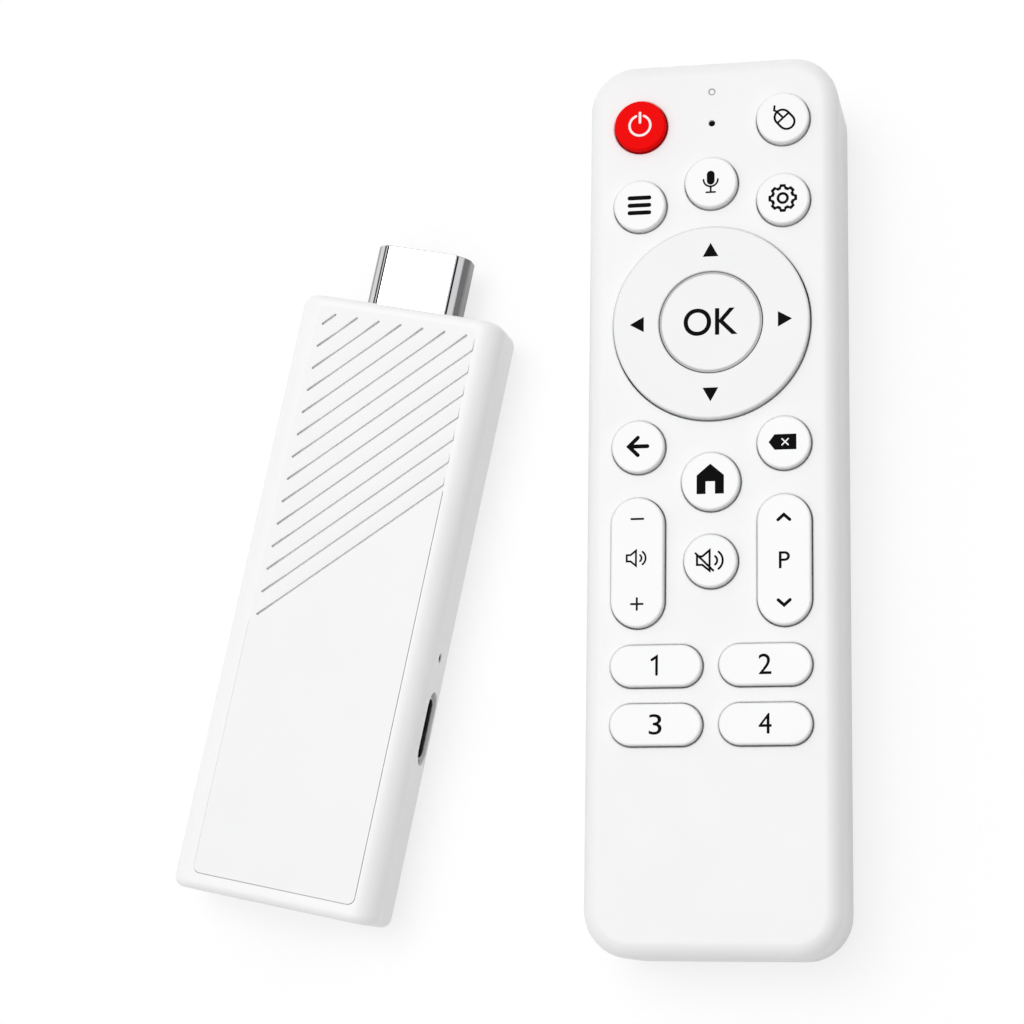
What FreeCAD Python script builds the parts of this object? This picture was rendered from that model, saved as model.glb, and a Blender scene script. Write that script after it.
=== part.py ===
import FreeCAD, Part
import os

import Sketcher

# A television streaming stick and the hand-held remote control that comes with it.
# Millimetres, +Z up, origin at the centre of the stick's underside.
# The stick leans by its own angle, and the remote lies beside it along +Y.

document = FreeCAD.newDocument("streaming_stick_set")

SIZES = {
    "stick": {
        "wide": 30.0,
        "long_side": 85.5,
        "deep": 12.6,
        "lean": 11.3,
        "front_edge": 3.25,
        "back_edge": 4.2,
        "end_edge": 1.2,
        "side_wall": 2.1,
        "end_wall": 1.8,
        "front_wall": 1.3,
        "cavity_corner": 1.5,
        "cover_thick": 1.6,
        "lip_tall": 1.2,
        "lip_thick": 0.8,
        "fit_gap": 0.1,
        "panel_wide": 23.5,
        "panel_long": 81.6,
        "panel_thick": 1.0,
        "panel_corner": 1.0,
        "panel_rise": 0.4,
        "louvre_first": 4.0,
        "louvre_pitch": 3.25,
        "louvre_depth": 0.4,
        "louvre_count": 14,
        "vent_long": 13.0,
        "vent_wide": 1.3,
        "vent_pitch": 3.2,
        "vent_count": 6,
        "vent_from": 8.0,
        "post_wide": 2.0,
        "post_y": 32.0,
        "port_y": -14.6,
        "port_drop": 0.3,
        "port_open_long": 10.3,
        "port_open_tall": 4.3,
        "reset_y": -4.7,
        "reset_hole": 1.2,
        "usb_open_gap": 0.25,
        "plug_open_gap": 0.2,
    },
    "board": {
        "thick": 0.8,
        "edge_gap": 0.4,
        "plug_wide": 13.9,
        "plug_tall": 4.45,
        "plug_flat": 10.6,
        "plug_bevel": 1.8,
        "plug_wall": 0.3,
        "plug_out": 9.5,
        "plug_in": 6.0,
        "plug_mouth": 8.0,
        "contact_pitch": 1.0,
        "contact_wide": 0.45,
        "contact_thick": 0.15,
        "contact_long": 6.5,
        "usb_pitch": 2.2,
        "slot_wide": 11.4,
        "slot_tall": 2.1,
        "usb_wide": 13.1,
        "usb_tall": 5.7,
        "usb_wall": 0.35,
        "usb_corner": 0.7,
        "usb_long": 14.0,
        "usb_inset": 0.3,
        "usb_tongue_wide": 11.1,
        "usb_tongue_thick": 1.84,
        "usb_tongue_long": 8.4,
        "usb_tongue_off": 0.85,
        "port_long": 8.94,
        "port_tall": 3.26,
        "port_wall": 0.3,
        "port_deep": 7.3,
        "port_inset": 0.4,
        "port_tongue_wide": 6.7,
        "port_tongue_thick": 0.7,
        "port_tongue_long": 4.5,
        "chip_wide": 14.0,
        "chip_tall": 1.2,
        "chip_y": 10.0,
        "spreader_wide": 20.0,
        "spreader_long": 46.0,
        "spreader_thick": 0.8,
        "memory_wide": 11.5,
        "memory_long": 9.0,
        "memory_tall": 1.0,
        "memory_pitch": 12.0,
        "radio_wide": 12.0,
        "radio_tall": 1.6,
        "radio_x": -4.5,
        "radio_y": -16.0,
        "coil_wide": 4.0,
        "coil_tall": 1.8,
        "coil_pitch": 6.0,
        "coil_y": -22.0,
        "crystal_wide": 3.2,
        "crystal_long": 2.5,
        "crystal_tall": 0.8,
        "antenna_long": 9.0,
        "antenna_wide": 2.0,
        "antenna_tall": 1.1,
        "switch_deep": 3.0,
        "switch_long": 4.0,
        "switch_tall": 1.0,
        "plunger_long": 1.5,
        "plunger_tall": 0.5,
        "plunger_out": 0.35,
        "plunger_in": 1.2,
        "plunger_gap": 0.08,
        "press": 0.25,
    },
    "remote": {
        "apart_x": 53.4,
        "apart_y": 12.2,
        "wide": 34.2,
        "long_side": 122.2,
        "corner": 6.3,
        "front_round": 2.2,
        "back_round": 3.0,
        "wall": 1.6,
        "floor_thick": 1.6,
        "split": 9.0,
        "lip_thick": 0.7,
        "lip_tall": 1.0,
        "fit_gap": 0.15,
        "door_thick": 1.4,
        "door_wide": 25.0,
        "door_long": 53.4,
        "door_gap": 0.15,
        "rail_out": 0.8,
        "rail_thick": 0.5,
        "grip_wide": 11.0,
        "grip_groove": 0.8,
        "grip_deep": 0.4,
        "grip_pitch": 1.7,
        "grip_count": 6,
        "grip_down": 18.7,
        "cell_wide": 10.5,
        "cell_long": 44.5,
        "cell_gap": 0.2,
        "cap_wide": 3.8,
        "cap_tall": 0.9,
        "spring_room": 5.0,
        "spring_wide": 6.0,
        "spring_thick": 0.3,
        "spring_tall": 6.6,
        "plate_wide": 8.0,
        "plate_thick": 0.4,
        "bay_wall": 1.4,
        "bay_roof": 0.9,
        "board_thick": 1.0,
        "board_edge": 0.6,
        "board_short": 2.0,
        "boss_wide": 4.2,
        "boss_down": 13.5,
        "screw_wide": 1.6,
        "screw_head": 2.6,
        "screw_head_tall": 0.5,
        "screw_long": 6.0,
        "mat_thick": 0.6,
        "mat_top_down": 3.3,
        "mat_low_down": 96.6,
        "mat_edge": 0.4,
        "stud_wide": 2.2,
        "key_room": 2.1,
        "light_down": 4.7,
        "light_wide": 1.0,
        "sound_down": 9.2,
        "sound_hole": 0.9,
        "sound_box": 3.0,
        "sound_tall": 1.0,
        "sound_room": 4.8,
        "led_wide": 3.0,
        "led_rim": 3.8,
        "led_body": 4.6,
        "led_flange": 0.8,
        "led_nose": 0.7,
        "led_sink": 2.2,
        "led_out": 0.5,
        "led_gap": 0.1,
        "chip_wide": 5.0,
        "chip_tall": 0.9,
        "chip_down": 29.1,
        "crystal_wide": 3.2,
        "crystal_long": 2.5,
        "crystal_tall": 0.8,
        "crystal_down": 21.6,
    },
    "keys": {
        "column": 9.8,
        "app_column": 7.25,
        "top_down": 9.3,
        "voice_down": 17.9,
        "second_down": 20.7,
        "pad_down": 37.5,
        "third_down": 54.35,
        "home_down": 59.35,
        "rocker_down": 70.1,
        "app_one_down": 84,
        "app_two_down": 91.8,
        "round_wide": 7.1,
        "home_wide": 7.8,
        "pad_wide": 26.6,
        "ok_wide": 13.5,
        "rocker_wide": 7.1,
        "rocker_long": 17.5,
        "app_wide": 5.5,
        "app_long": 12.2,
        "hole_gap": 0.15,
        "pad_gap": 0.2,
        "ok_gap": 0.3,
        "proud": 1.0,
        "bevel": 0.35,
        "lug_out": 0.6,
        "lug_wide": 2.4,
        "lug_thick": 0.5,
        "lug_gap": 0.05,
        "rock_gap": 0.7,
        "foot_wide": 2.6,
        "rocker_foot": 5.6,
        "ok_drop": 0.45,
        "ring_top": 1.5,
        "ring_wall": 1.5,
        "boot_gap": 0.6,
        "boot_tall": 2.1,
        "boot_lift": 0.4,
    },
}

# How far a cut runs on past what it cuts, so that no skin is left.
BEYOND = "1"

# Places that follow from the sizes, as expressions that the pieces share.
FRONT_INSIDE = "(stick.deep - stick.panel_thick - stick.front_wall)"
CAVITY_WIDE = "(stick.wide - 2*stick.side_wall)"
CAVITY_LONG = "(stick.long_side - 2*stick.end_wall)"
STICK_END = "(stick.long_side/2)"
STICK_OVER = (f"stick.wide + 2*{BEYOND}", f"stick.long_side + 2*{BEYOND}")
BOARD_LOW = "(stick.deep/2 - board.thick/2)"
BOARD_TOP = "(stick.deep/2 + board.thick/2)"
BOARD_EDGE = f"({CAVITY_WIDE}/2 - board.edge_gap)"
PLUG_REAR = f"({STICK_END} - board.plug_in)"
USB_MOUTH = f"(-{STICK_END} + board.usb_inset)"
USB_REAR = f"({USB_MOUTH} + board.usb_long)"
PORT_Z = "(stick.deep/2 - stick.port_drop)"
PORT_MOUTH = "(stick.wide/2 - board.port_inset)"
RESET_Z = f"({BOARD_TOP} + board.switch_tall/2)"

CELL_Z = "(remote.door_thick + remote.cell_gap + remote.cell_wide/2)"
BAY_TOP = "(remote.door_thick + 2*remote.cell_gap + remote.cell_wide)"
CIRCUIT_LOW = f"({BAY_TOP} + remote.bay_roof)"
CIRCUIT_TOP = f"({CIRCUIT_LOW} + remote.board_thick)"
MAT_TOP = f"({CIRCUIT_TOP} + remote.mat_thick)"
FACE_INSIDE = f"({MAT_TOP} + remote.key_room)"
FACE = f"({FACE_INSIDE} + remote.wall)"
KEY_TOP = f"({FACE} + keys.proud)"
LUG_TOP = f"({FACE_INSIDE} - keys.lug_gap)"
ROCK_TOP = f"({FACE_INSIDE} - keys.rock_gap)"
STUD_TOP = f"({ROCK_TOP} - keys.lug_thick)"
REMOTE_END = "(remote.long_side/2)"
BAY_WIDE = "(2*remote.cell_wide + 3*remote.cell_gap)"
BAY_LONG = "(remote.cell_long + remote.spring_room + remote.plate_thick)"
BAY_FROM = f"(-{REMOTE_END} + remote.wall + 2*remote.door_gap + remote.bay_wall)"
BAY_MIDDLE = f"({BAY_FROM} + {BAY_LONG}/2)"
CELL_X = "(remote.cell_wide/2 + remote.cell_gap/2)"
LED_Z = f"({CIRCUIT_LOW} - remote.led_sink)"
RING_INSIDE = "(keys.ok_wide/2 + keys.ok_gap)"
RING_UNDER = f"({KEY_TOP} - keys.ring_top)"
OK_LUG_TOP = f"({RING_UNDER} - keys.ok_drop)"

# What keeps its distance from the end of the remote that has the power key.
TOP_ROW = f"({REMOTE_END} - keys.top_down)"
VOICE_ROW = f"({REMOTE_END} - keys.voice_down)"
SECOND_ROW = f"({REMOTE_END} - keys.second_down)"
PAD_ROW = f"({REMOTE_END} - keys.pad_down)"
THIRD_ROW = f"({REMOTE_END} - keys.third_down)"
HOME_ROW = f"({REMOTE_END} - keys.home_down)"
ROCKER_ROW = f"({REMOTE_END} - keys.rocker_down)"
APP_ROW_ONE = f"({REMOTE_END} - keys.app_one_down)"
APP_ROW_TWO = f"({REMOTE_END} - keys.app_two_down)"
LIGHT_Y = f"({REMOTE_END} - remote.light_down)"
SOUND_Y = f"({REMOTE_END} - remote.sound_down)"
BOSS_Y = f"({REMOTE_END} - remote.boss_down)"
CHIP_Y = f"({REMOTE_END} - remote.chip_down)"
CRYSTAL_Y = f"({REMOTE_END} - remote.crystal_down)"

# Each round key: where its middle is and how wide its cap is.
ROUND_KEYS = {
    "power_key": ("-keys.column", TOP_ROW, "keys.round_wide"),
    "mouse_key": ("keys.column", TOP_ROW, "keys.round_wide"),
    "voice_key": ("0", VOICE_ROW, "keys.round_wide"),
    "menu_key": ("-keys.column", SECOND_ROW, "keys.round_wide"),
    "settings_key": ("keys.column", SECOND_ROW, "keys.round_wide"),
    "back_key": ("-keys.column", THIRD_ROW, "keys.round_wide"),
    "delete_key": ("keys.column", THIRD_ROW, "keys.round_wide"),
    "home_key": ("0", HOME_ROW, "keys.home_wide"),
    "mute_key": ("0", ROCKER_ROW, "keys.round_wide"),
}
ROCKERS = {
    "volume_rocker": ("-keys.column", ROCKER_ROW),
    "channel_rocker": ("keys.column", ROCKER_ROW),
}
APP_KEYS = {
    "app_key_1": ("-keys.app_column", APP_ROW_ONE),
    "app_key_2": ("keys.app_column", APP_ROW_ONE),
    "app_key_3": ("-keys.app_column", APP_ROW_TWO),
    "app_key_4": ("keys.app_column", APP_ROW_TWO),
}
PAD_PLACE = ("0", PAD_ROW)
SIDES = ("-1", "1")

pieces = []


def fill_sheet(name, values):
    """A spreadsheet of plain numbers, each cell known by its alias."""
    sheet = document.addObject("Spreadsheet::Sheet", name)
    for row, (alias, number) in enumerate(values.items(), 1):
        sheet.set(f"A{row}", alias)
        sheet.set(f"B{row}", str(number))
        sheet.setAlias(f"B{row}", alias)
    return sheet


sheets = {name: fill_sheet(name, values) for name, values in SIZES.items()}
document.recompute()


def value(expression):
    """What an expression comes to with the sizes as they are."""
    return float(sheets["stick"].evalExpression(expression))


def bind(item, **expressions):
    """Ties properties to expressions; a double underscore stands for a dot."""
    for name, expression in expressions.items():
        item.setExpression(name.replace("__", "."), expression)


def piece(name):
    """A new body whose label becomes the node's name."""
    body = document.addObject("PartDesign::Body", name)
    body.Label = name
    pieces.append(body)
    return body


def stick_piece(name):
    """A piece of the stick, which leans about Z."""
    body = piece(name)
    bind(body, Placement__Rotation__Angle="-stick.lean * 1deg")
    return body


def remote_piece(name, x="0", y="0", z="0"):
    """A piece of the remote, with its own origin at x, y, z from the remote's."""
    body = piece(name)
    bind(
        body,
        Placement__Base__x=f"remote.apart_x + ({x})",
        Placement__Base__y=f"remote.apart_y + ({y})",
        Placement__Base__z=z,
    )
    return body


def sketch_on(body, name, role="XY_Plane", lift="0", swing=0.0):
    """A sketch on one of the body's planes, lifted along the normal and swung about its own Y."""
    drawing = body.newObject("Sketcher::SketchObject", f"{body.Name}_{name}")
    plane = [item for item in body.Origin.OriginFeatures if item.Role == role][0]
    drawing.AttachmentSupport = [(plane, "")]
    drawing.MapMode = "FlatFace"
    rotation = FreeCAD.Rotation(FreeCAD.Vector(0, 1, 0), swing)
    drawing.AttachmentOffset = FreeCAD.Placement(FreeCAD.Vector(), rotation)
    bind(drawing, AttachmentOffset__Base__z=lift)
    return drawing


def hold(drawing, kind, *place, size):
    """A constraint whose size is an expression."""
    number = drawing.addConstraint(Sketcher.Constraint(kind, *place, value(size)))
    drawing.setExpression(f"Constraints[{number}]", size)


def pin(drawing, item, spot, x, y):
    """Holds one point of a sketch at x, y from its origin."""
    hold(drawing, "DistanceX", -1, 1, item, spot, size=x)
    hold(drawing, "DistanceY", -1, 1, item, spot, size=y)


def line(drawing, start, end):
    """Draws a straight line between two points given as numbers."""
    ends = [FreeCAD.Vector(x, y, 0) for x, y in (start, end)]
    return drawing.addGeometry(Part.LineSegment(*ends), False)


def bow(drawing, middle, radius, start, end):
    """Draws an arc; its angles are in quarter turns."""
    quarter = 1.5707963267948966
    ring = Part.Circle(FreeCAD.Vector(*middle, 0), FreeCAD.Vector(0, 0, 1), radius)
    return drawing.addGeometry(Part.ArcOfCircle(ring, start * quarter, end * quarter), False)


def polygon(drawing, corners):
    """A closed outline of straight lines, each corner held by its expressions."""
    points = [(value(x), value(y)) for x, y in corners]
    count = len(corners)
    lines = [line(drawing, points[n], points[(n + 1) % count]) for n in range(count)]
    for n in range(count):
        following = lines[(n + 1) % count]
        drawing.addConstraint(Sketcher.Constraint("Coincident", lines[n], 2, following, 1))
    for item, (x, y) in zip(lines, corners):
        pin(drawing, item, 1, x, y)


def oblong(drawing, x, y, wide, tall):
    """A rectangle with sharp corners, by its middle."""
    left, right = f"({x}) - ({wide})/2", f"({x}) + ({wide})/2"
    low, high = f"({y}) - ({tall})/2", f"({y}) + ({tall})/2"
    polygon(drawing, [(left, low), (right, low), (right, high), (left, high)])


def circle(drawing, x, y, wide):
    """A full circle by its middle and its width."""
    middle = FreeCAD.Vector(value(x), value(y), 0)
    ring = Part.Circle(middle, FreeCAD.Vector(0, 0, 1), value(wide) / 2)
    item = drawing.addGeometry(ring, False)
    pin(drawing, item, 3, x, y)
    hold(drawing, "Diameter", item, size=wide)


def join_smoothly(drawing, chain):
    """Makes each line or arc of a closed chain run on into the next."""
    for item, following in zip(chain, chain[1:] + chain[:1]):
        drawing.addConstraint(Sketcher.Constraint("Tangent", item, 2, following, 1))


def stadium(drawing, x, y, long_way, wide, upright=False):
    """A slot outline with half-round ends, along X or, if upright, along Y."""
    shift = f"(({long_way}) - ({wide}))/2"
    half, radius = value(shift), value(f"({wide})/2")
    across, up = value(x), value(y)
    if upright:
        ends = [(across, up + half), (across, up - half)]
        top = bow(drawing, ends[0], radius, 0, 2)
        left = line(drawing, (across - radius, up + half), (across - radius, up - half))
        low = bow(drawing, ends[1], radius, 2, 4)
        right = line(drawing, (across + radius, up - half), (across + radius, up + half))
        join_smoothly(drawing, [top, left, low, right])
        pin(drawing, top, 3, x, f"({y}) + {shift}")
        hold(drawing, "DistanceY", -1, 1, low, 3, size=f"({y}) - {shift}")
        hold(drawing, "Radius", top, size=f"({wide})/2")
        drawing.addConstraint(Sketcher.Constraint("Vertical", left))
        return
    right = bow(drawing, (across + half, up), radius, -1, 1)
    top = line(drawing, (across + half, up + radius), (across - half, up + radius))
    left = bow(drawing, (across - half, up), radius, 1, 3)
    low = line(drawing, (across - half, up - radius), (across + half, up - radius))
    join_smoothly(drawing, [right, top, left, low])
    pin(drawing, right, 3, f"({x}) + {shift}", y)
    hold(drawing, "DistanceX", -1, 1, left, 3, size=f"({x}) - {shift}")
    hold(drawing, "Radius", right, size=f"({wide})/2")
    drawing.addConstraint(Sketcher.Constraint("Horizontal", top))


def rounded(drawing, x, y, wide, tall, corner):
    """A rectangle with rounded corners, by its middle."""
    low_x, high_x = f"({x}) - ({wide})/2", f"({x}) + ({wide})/2"
    low_y, high_y = f"({y}) - ({tall})/2", f"({y}) + ({tall})/2"
    left, right, low, high = (value(side) for side in (low_x, high_x, low_y, high_y))
    r = value(corner)
    bottom = line(drawing, (left + r, low), (right - r, low))
    corner_a = bow(drawing, (right - r, low + r), r, 3, 4)
    side_a = line(drawing, (right, low + r), (right, high - r))
    corner_b = bow(drawing, (right - r, high - r), r, 0, 1)
    top = line(drawing, (right - r, high), (left + r, high))
    corner_c = bow(drawing, (left + r, high - r), r, 1, 2)
    side_b = line(drawing, (left, high - r), (left, low + r))
    corner_d = bow(drawing, (left + r, low + r), r, 2, 3)
    chain = [bottom, corner_a, side_a, corner_b, top, corner_c, side_b, corner_d]
    join_smoothly(drawing, chain)
    for item in (bottom, top):
        drawing.addConstraint(Sketcher.Constraint("Horizontal", item))
    for item in (side_a, side_b):
        drawing.addConstraint(Sketcher.Constraint("Vertical", item))
    for item in (corner_b, corner_c, corner_d):
        drawing.addConstraint(Sketcher.Constraint("Equal", corner_a, item))
    hold(drawing, "Radius", corner_a, size=corner)
    pin(drawing, side_b, 1, low_x, f"{high_y} - ({corner})")
    pin(drawing, bottom, 2, f"{high_x} - ({corner})", low_y)


def pad(body, drawing, length, flip=False):
    """Raises a sketch along its normal, or against it."""
    feature = body.newObject("PartDesign::Pad", f"{drawing.Name}_pad")
    feature.Profile = drawing
    feature.Reversed = flip
    bind(feature, Length=length)
    return feature


def pocket(body, drawing, length, flip=False, both_ways=False):
    """Cuts a sketch against its normal, along it if flipped, or half each way."""
    feature = body.newObject("PartDesign::Pocket", f"{drawing.Name}_pocket")
    feature.Profile = drawing
    feature.Reversed = flip
    feature.SideType = "Symmetric" if both_ways else "One side"
    bind(feature, Length=length)
    return feature


def spin(body, drawing):
    """Turns a sketch a full turn about its own Y axis."""
    feature = body.newObject("PartDesign::Revolution", f"{drawing.Name}_turn")
    feature.Profile = drawing
    feature.ReferenceAxis = (drawing, ["V_Axis"])
    feature.Angle = 360
    return feature


def repeat(body, feature, drawing, axis, spacing, count):
    """Repeats the last feature in a row along a sketch axis."""
    row = body.newObject("PartDesign::LinearPattern", f"{drawing.Name}_row")
    row.Originals = [feature]
    row.Direction = (drawing, [axis])
    bind(row, Length=f"{spacing} * ({count} - 1)", Occurrences=count)
    body.Tip = row
    return row


def block(body, name, middle, low, size, cut=False):
    """A box by the middle of its plan, its lowest level and its size."""
    kind = "SubtractiveBox" if cut else "AdditiveBox"
    feature = body.newObject(f"PartDesign::{kind}", f"{body.Name}_{name}")
    bind(
        feature,
        Length=size[0],
        Width=size[1],
        Height=size[2],
        Placement__Base__x=f"({middle[0]}) - ({size[0]})/2",
        Placement__Base__y=f"({middle[1]}) - ({size[1]})/2",
        Placement__Base__z=low,
    )
    return feature


ROD_TURNS = {
    "X": FreeCAD.Rotation(FreeCAD.Vector(0, 1, 0), 90),
    "Y": FreeCAD.Rotation(FreeCAD.Vector(1, 0, 0), -90),
    "Z": FreeCAD.Rotation(),
}


def rod(body, name, start, wide, length, axis="Z", cut=False):
    """A cylinder from its start along an axis, by its width."""
    kind = "SubtractiveCylinder" if cut else "AdditiveCylinder"
    feature = body.newObject(f"PartDesign::{kind}", f"{body.Name}_{name}")
    feature.Placement = FreeCAD.Placement(FreeCAD.Vector(), ROD_TURNS[axis])
    bind(
        feature,
        Radius=f"({wide})/2",
        Height=length,
        Placement__Base__x=start[0],
        Placement__Base__y=start[1],
        Placement__Base__z=start[2],
    )
    return feature


def lies_at(edge, axis, level):
    """Whether a whole edge lies at one level of an axis."""
    box = edge.BoundBox
    low = {"x": box.XMin, "y": box.YMin, "z": box.ZMin}[axis]
    high = {"x": box.XMax, "y": box.YMax, "z": box.ZMax}[axis]
    return abs(low - level) < 1e-3 and abs(high - level) < 1e-3


def ease(body, kind, size, wanted):
    """Fillets or chamfers the edges of the body so far that are wanted."""
    document.recompute()
    base = body.Tip
    names = [f"Edge{n}" for n, edge in enumerate(base.Shape.Edges, 1) if wanted(edge)]
    feature = body.newObject(f"PartDesign::{kind}", f"{body.Name}_{kind}")
    feature.Base = (base, names)
    bind(feature, **{"Radius" if kind == "Fillet" else "Size": size})
    return feature


def across(edge):
    """Whether an edge lies at one level of Y, as those of the ends do."""
    return edge.BoundBox.YLength < 1e-3


def along(edge, level):
    """Whether an edge runs along the body at a level of Z."""
    return lies_at(edge, "z", level) and not across(edge)


def stick_form(body):
    """The stick's outer shape: a bar with rounded long edges and eased ends."""
    section = sketch_on(body, "section", "XZ_Plane", f"-{STICK_END}")
    oblong(section, "0", "stick.deep/2", "stick.wide", "stick.deep")
    pad(body, section, "stick.long_side")
    deep, end = value("stick.deep"), value(STICK_END)
    ease(body, "Fillet", "stick.back_edge", lambda edge: along(edge, 0))
    ease(body, "Fillet", "stick.front_edge", lambda edge: along(edge, deep))
    ease(body, "Chamfer", "stick.end_edge", lambda edge: at_ends(edge, end))


def at_ends(edge, end):
    """Whether an edge lies in either end face."""
    return lies_at(edge, "y", end) or lies_at(edge, "y", -end)


def stick_housing():
    """The deep front shell, open at the back, with the plug and port openings."""
    body = stick_piece("stick_housing")
    stick_form(body)
    size = (*STICK_OVER, f"stick.cover_thick + {BEYOND}")
    block(body, "back_slice", ("0", "0"), f"-{BEYOND}", size, cut=True)
    cavity = sketch_on(body, "cavity", lift="stick.cover_thick")
    rounded(cavity, "0", "0", CAVITY_WIDE, CAVITY_LONG, "stick.cavity_corner")
    pocket(body, cavity, f"{FRONT_INSIDE} - stick.cover_thick", flip=True)
    recess = sketch_on(body, "recess", lift="stick.deep")
    rounded(
        recess,
        "0",
        "stick.panel_rise",
        "stick.panel_wide + 2*stick.fit_gap",
        "stick.panel_long + 2*stick.fit_gap",
        "stick.panel_corner + stick.fit_gap",
    )
    pocket(body, recess, "stick.panel_thick")
    for x in SIDES:
        for y in SIDES:
            middle = (f"{x} * ({CAVITY_WIDE}/2 - stick.post_wide/2)", f"{y} * stick.post_y")
            size = ("stick.post_wide", "stick.post_wide", f"{FRONT_INSIDE} - {BOARD_TOP}")
            block(body, "post", middle, BOARD_TOP, size)
    plug_gap = "2*stick.plug_open_gap"
    block(
        body,
        "plug_opening",
        ("0", STICK_END),
        f"stick.deep/2 - board.plug_tall/2 - {plug_gap}/2",
        (f"board.plug_wide + {plug_gap}", "4*stick.end_wall", f"board.plug_tall + {plug_gap}"),
        cut=True,
    )
    mouth = sketch_on(body, "usb_mouth", "XZ_Plane", f"{STICK_END} - 2*stick.end_wall")
    usb_gap = "2*stick.usb_open_gap"
    rounded(
        mouth,
        "0",
        "stick.deep/2",
        f"board.usb_wide + {usb_gap}",
        f"board.usb_tall + {usb_gap}",
        "board.usb_corner",
    )
    pocket(body, mouth, "3*stick.end_wall", flip=True)
    port = sketch_on(body, "port", "YZ_Plane", "stick.wide/2 - 2*stick.side_wall")
    stadium(port, "stick.port_y", PORT_Z, "stick.port_open_long", "stick.port_open_tall")
    pocket(body, port, "3*stick.side_wall", flip=True)
    start = ("stick.wide/2 - 2*stick.side_wall", "stick.reset_y", RESET_Z)
    rod(body, "reset_hole", start, "stick.reset_hole", "3*stick.side_wall", "X", cut=True)


def stick_back_cover():
    """The back cover: a slice of the same form, with a lip, posts and vent slots."""
    body = stick_piece("stick_back_cover")
    stick_form(body)
    size = (*STICK_OVER, "stick.deep")
    block(body, "front_part", ("0", "0"), "stick.cover_thick", size, cut=True)
    lip = sketch_on(body, "lip", lift="stick.cover_thick")
    outer_wide = f"{CAVITY_WIDE} - 2*stick.fit_gap"
    outer_long = f"{CAVITY_LONG} - 2*stick.fit_gap"
    corner = "stick.cavity_corner - stick.fit_gap"
    rounded(lip, "0", "0", outer_wide, outer_long, corner)
    step = "2*stick.lip_thick"
    rounded(lip, "0", "0", f"{outer_wide} - {step}", f"{outer_long} - {step}", f"({corner})/2")
    pad(body, lip, "stick.lip_tall")
    for x in SIDES:
        for y in SIDES:
            middle = (
                f"{x} * ({CAVITY_WIDE}/2 - stick.fit_gap - stick.post_wide/2)",
                f"{y} * stick.post_y",
            )
            size = ("stick.post_wide", "stick.post_wide", f"{BOARD_LOW} - stick.cover_thick")
            block(body, "post", middle, "stick.cover_thick", size)
    slot = sketch_on(body, "vent")
    oblong(slot, "0", "stick.vent_from", "stick.vent_long", "stick.vent_wide")
    vent = pocket(body, slot, "2*stick.cover_thick", flip=True)
    repeat(body, vent, slot, "V_Axis", "stick.vent_pitch", "stick.vent_count")


def stick_front_panel():
    """The inset front panel, whose plug end is a field of sawtooth louvres at 45 degrees."""
    body = stick_piece("stick_front_panel")
    outline = sketch_on(body, "outline", lift="stick.deep - stick.panel_thick")
    rounded(
        outline,
        "0",
        "stick.panel_rise",
        "stick.panel_wide",
        "stick.panel_long",
        "stick.panel_corner",
    )
    pad(body, outline, "stick.panel_thick")
    tooth = sketch_on(body, "tooth", "XZ_Plane", swing=-45.0)
    corner = "(-stick.panel_wide/2 - stick.panel_rise - stick.panel_long/2)"
    start = f"({corner} + stick.louvre_first - stick.louvre_pitch) * cos(45deg)"
    step = f"({corner} + stick.louvre_first) * cos(45deg)"
    polygon(
        tooth,
        [
            (start, "stick.deep"),
            (step, "stick.deep - stick.louvre_depth"),
            (step, "stick.deep + stick.louvre_depth"),
            (start, "stick.deep + stick.louvre_depth"),
        ],
    )
    groove = pocket(body, tooth, "4*stick.panel_long", both_ways=True)
    spacing = "stick.louvre_pitch * cos(45deg)"
    repeat(body, groove, tooth, "H_Axis", spacing, "stick.louvre_count")


def plug_outline(drawing, inset):
    """The plug's section: wide at the back, with bevels towards the front."""
    half = f"(board.plug_wide/2 - {inset})"
    flat = f"(board.plug_flat/2 - {inset} * tan(22.5deg))"
    low = f"(stick.deep/2 - board.plug_tall/2 + {inset})"
    high = f"(stick.deep/2 + board.plug_tall/2 - {inset})"
    bevel = f"({high} + {inset} - board.plug_bevel - {inset} * tan(22.5deg))"
    polygon(
        drawing,
        [
            (f"-{half}", low),
            (half, low),
            (half, bevel),
            (flat, high),
            (f"-{flat}", high),
            (f"-{half}", bevel),
        ],
    )


def plug_parts():
    """The television plug: its metal shell, its insulator and its two rows of contacts."""
    shell = stick_piece("plug_shell")
    tip = f"({STICK_END} + board.plug_out)"
    section = sketch_on(shell, "section", "XZ_Plane", f"-{tip}")
    plug_outline(section, "0")
    plug_outline(section, "board.plug_wall")
    pad(shell, section, "board.plug_out + board.plug_in")

    core = stick_piece("plug_insulator")
    inside = sketch_on(core, "section", "XZ_Plane", f"-({tip} - board.plug_wall)")
    plug_outline(inside, "(board.plug_wall + stick.fit_gap/2)")
    pad(core, inside, "board.plug_out + board.plug_in - board.plug_wall")
    slot_low = "stick.deep/2 - board.slot_tall/2"
    block(
        core,
        "mouth",
        ("0", f"{tip} - board.plug_mouth/2"),
        slot_low,
        ("board.slot_wide", "board.plug_mouth", "board.slot_tall"),
        cut=True,
    )

    contacts = stick_piece("plug_contacts")
    middle_y = f"{tip} - board.plug_mouth + board.contact_long/2"
    size = ("board.contact_wide", "board.contact_long", "board.contact_thick")
    slot_high = f"{slot_low} + board.slot_tall - board.contact_thick"
    for low, count in ((slot_low, 10), (slot_high, 9)):
        for n in range(count):
            x = f"({n} - {count - 1}/2) * board.contact_pitch"
            block(contacts, "bar", (x, middle_y), low, size)


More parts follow.
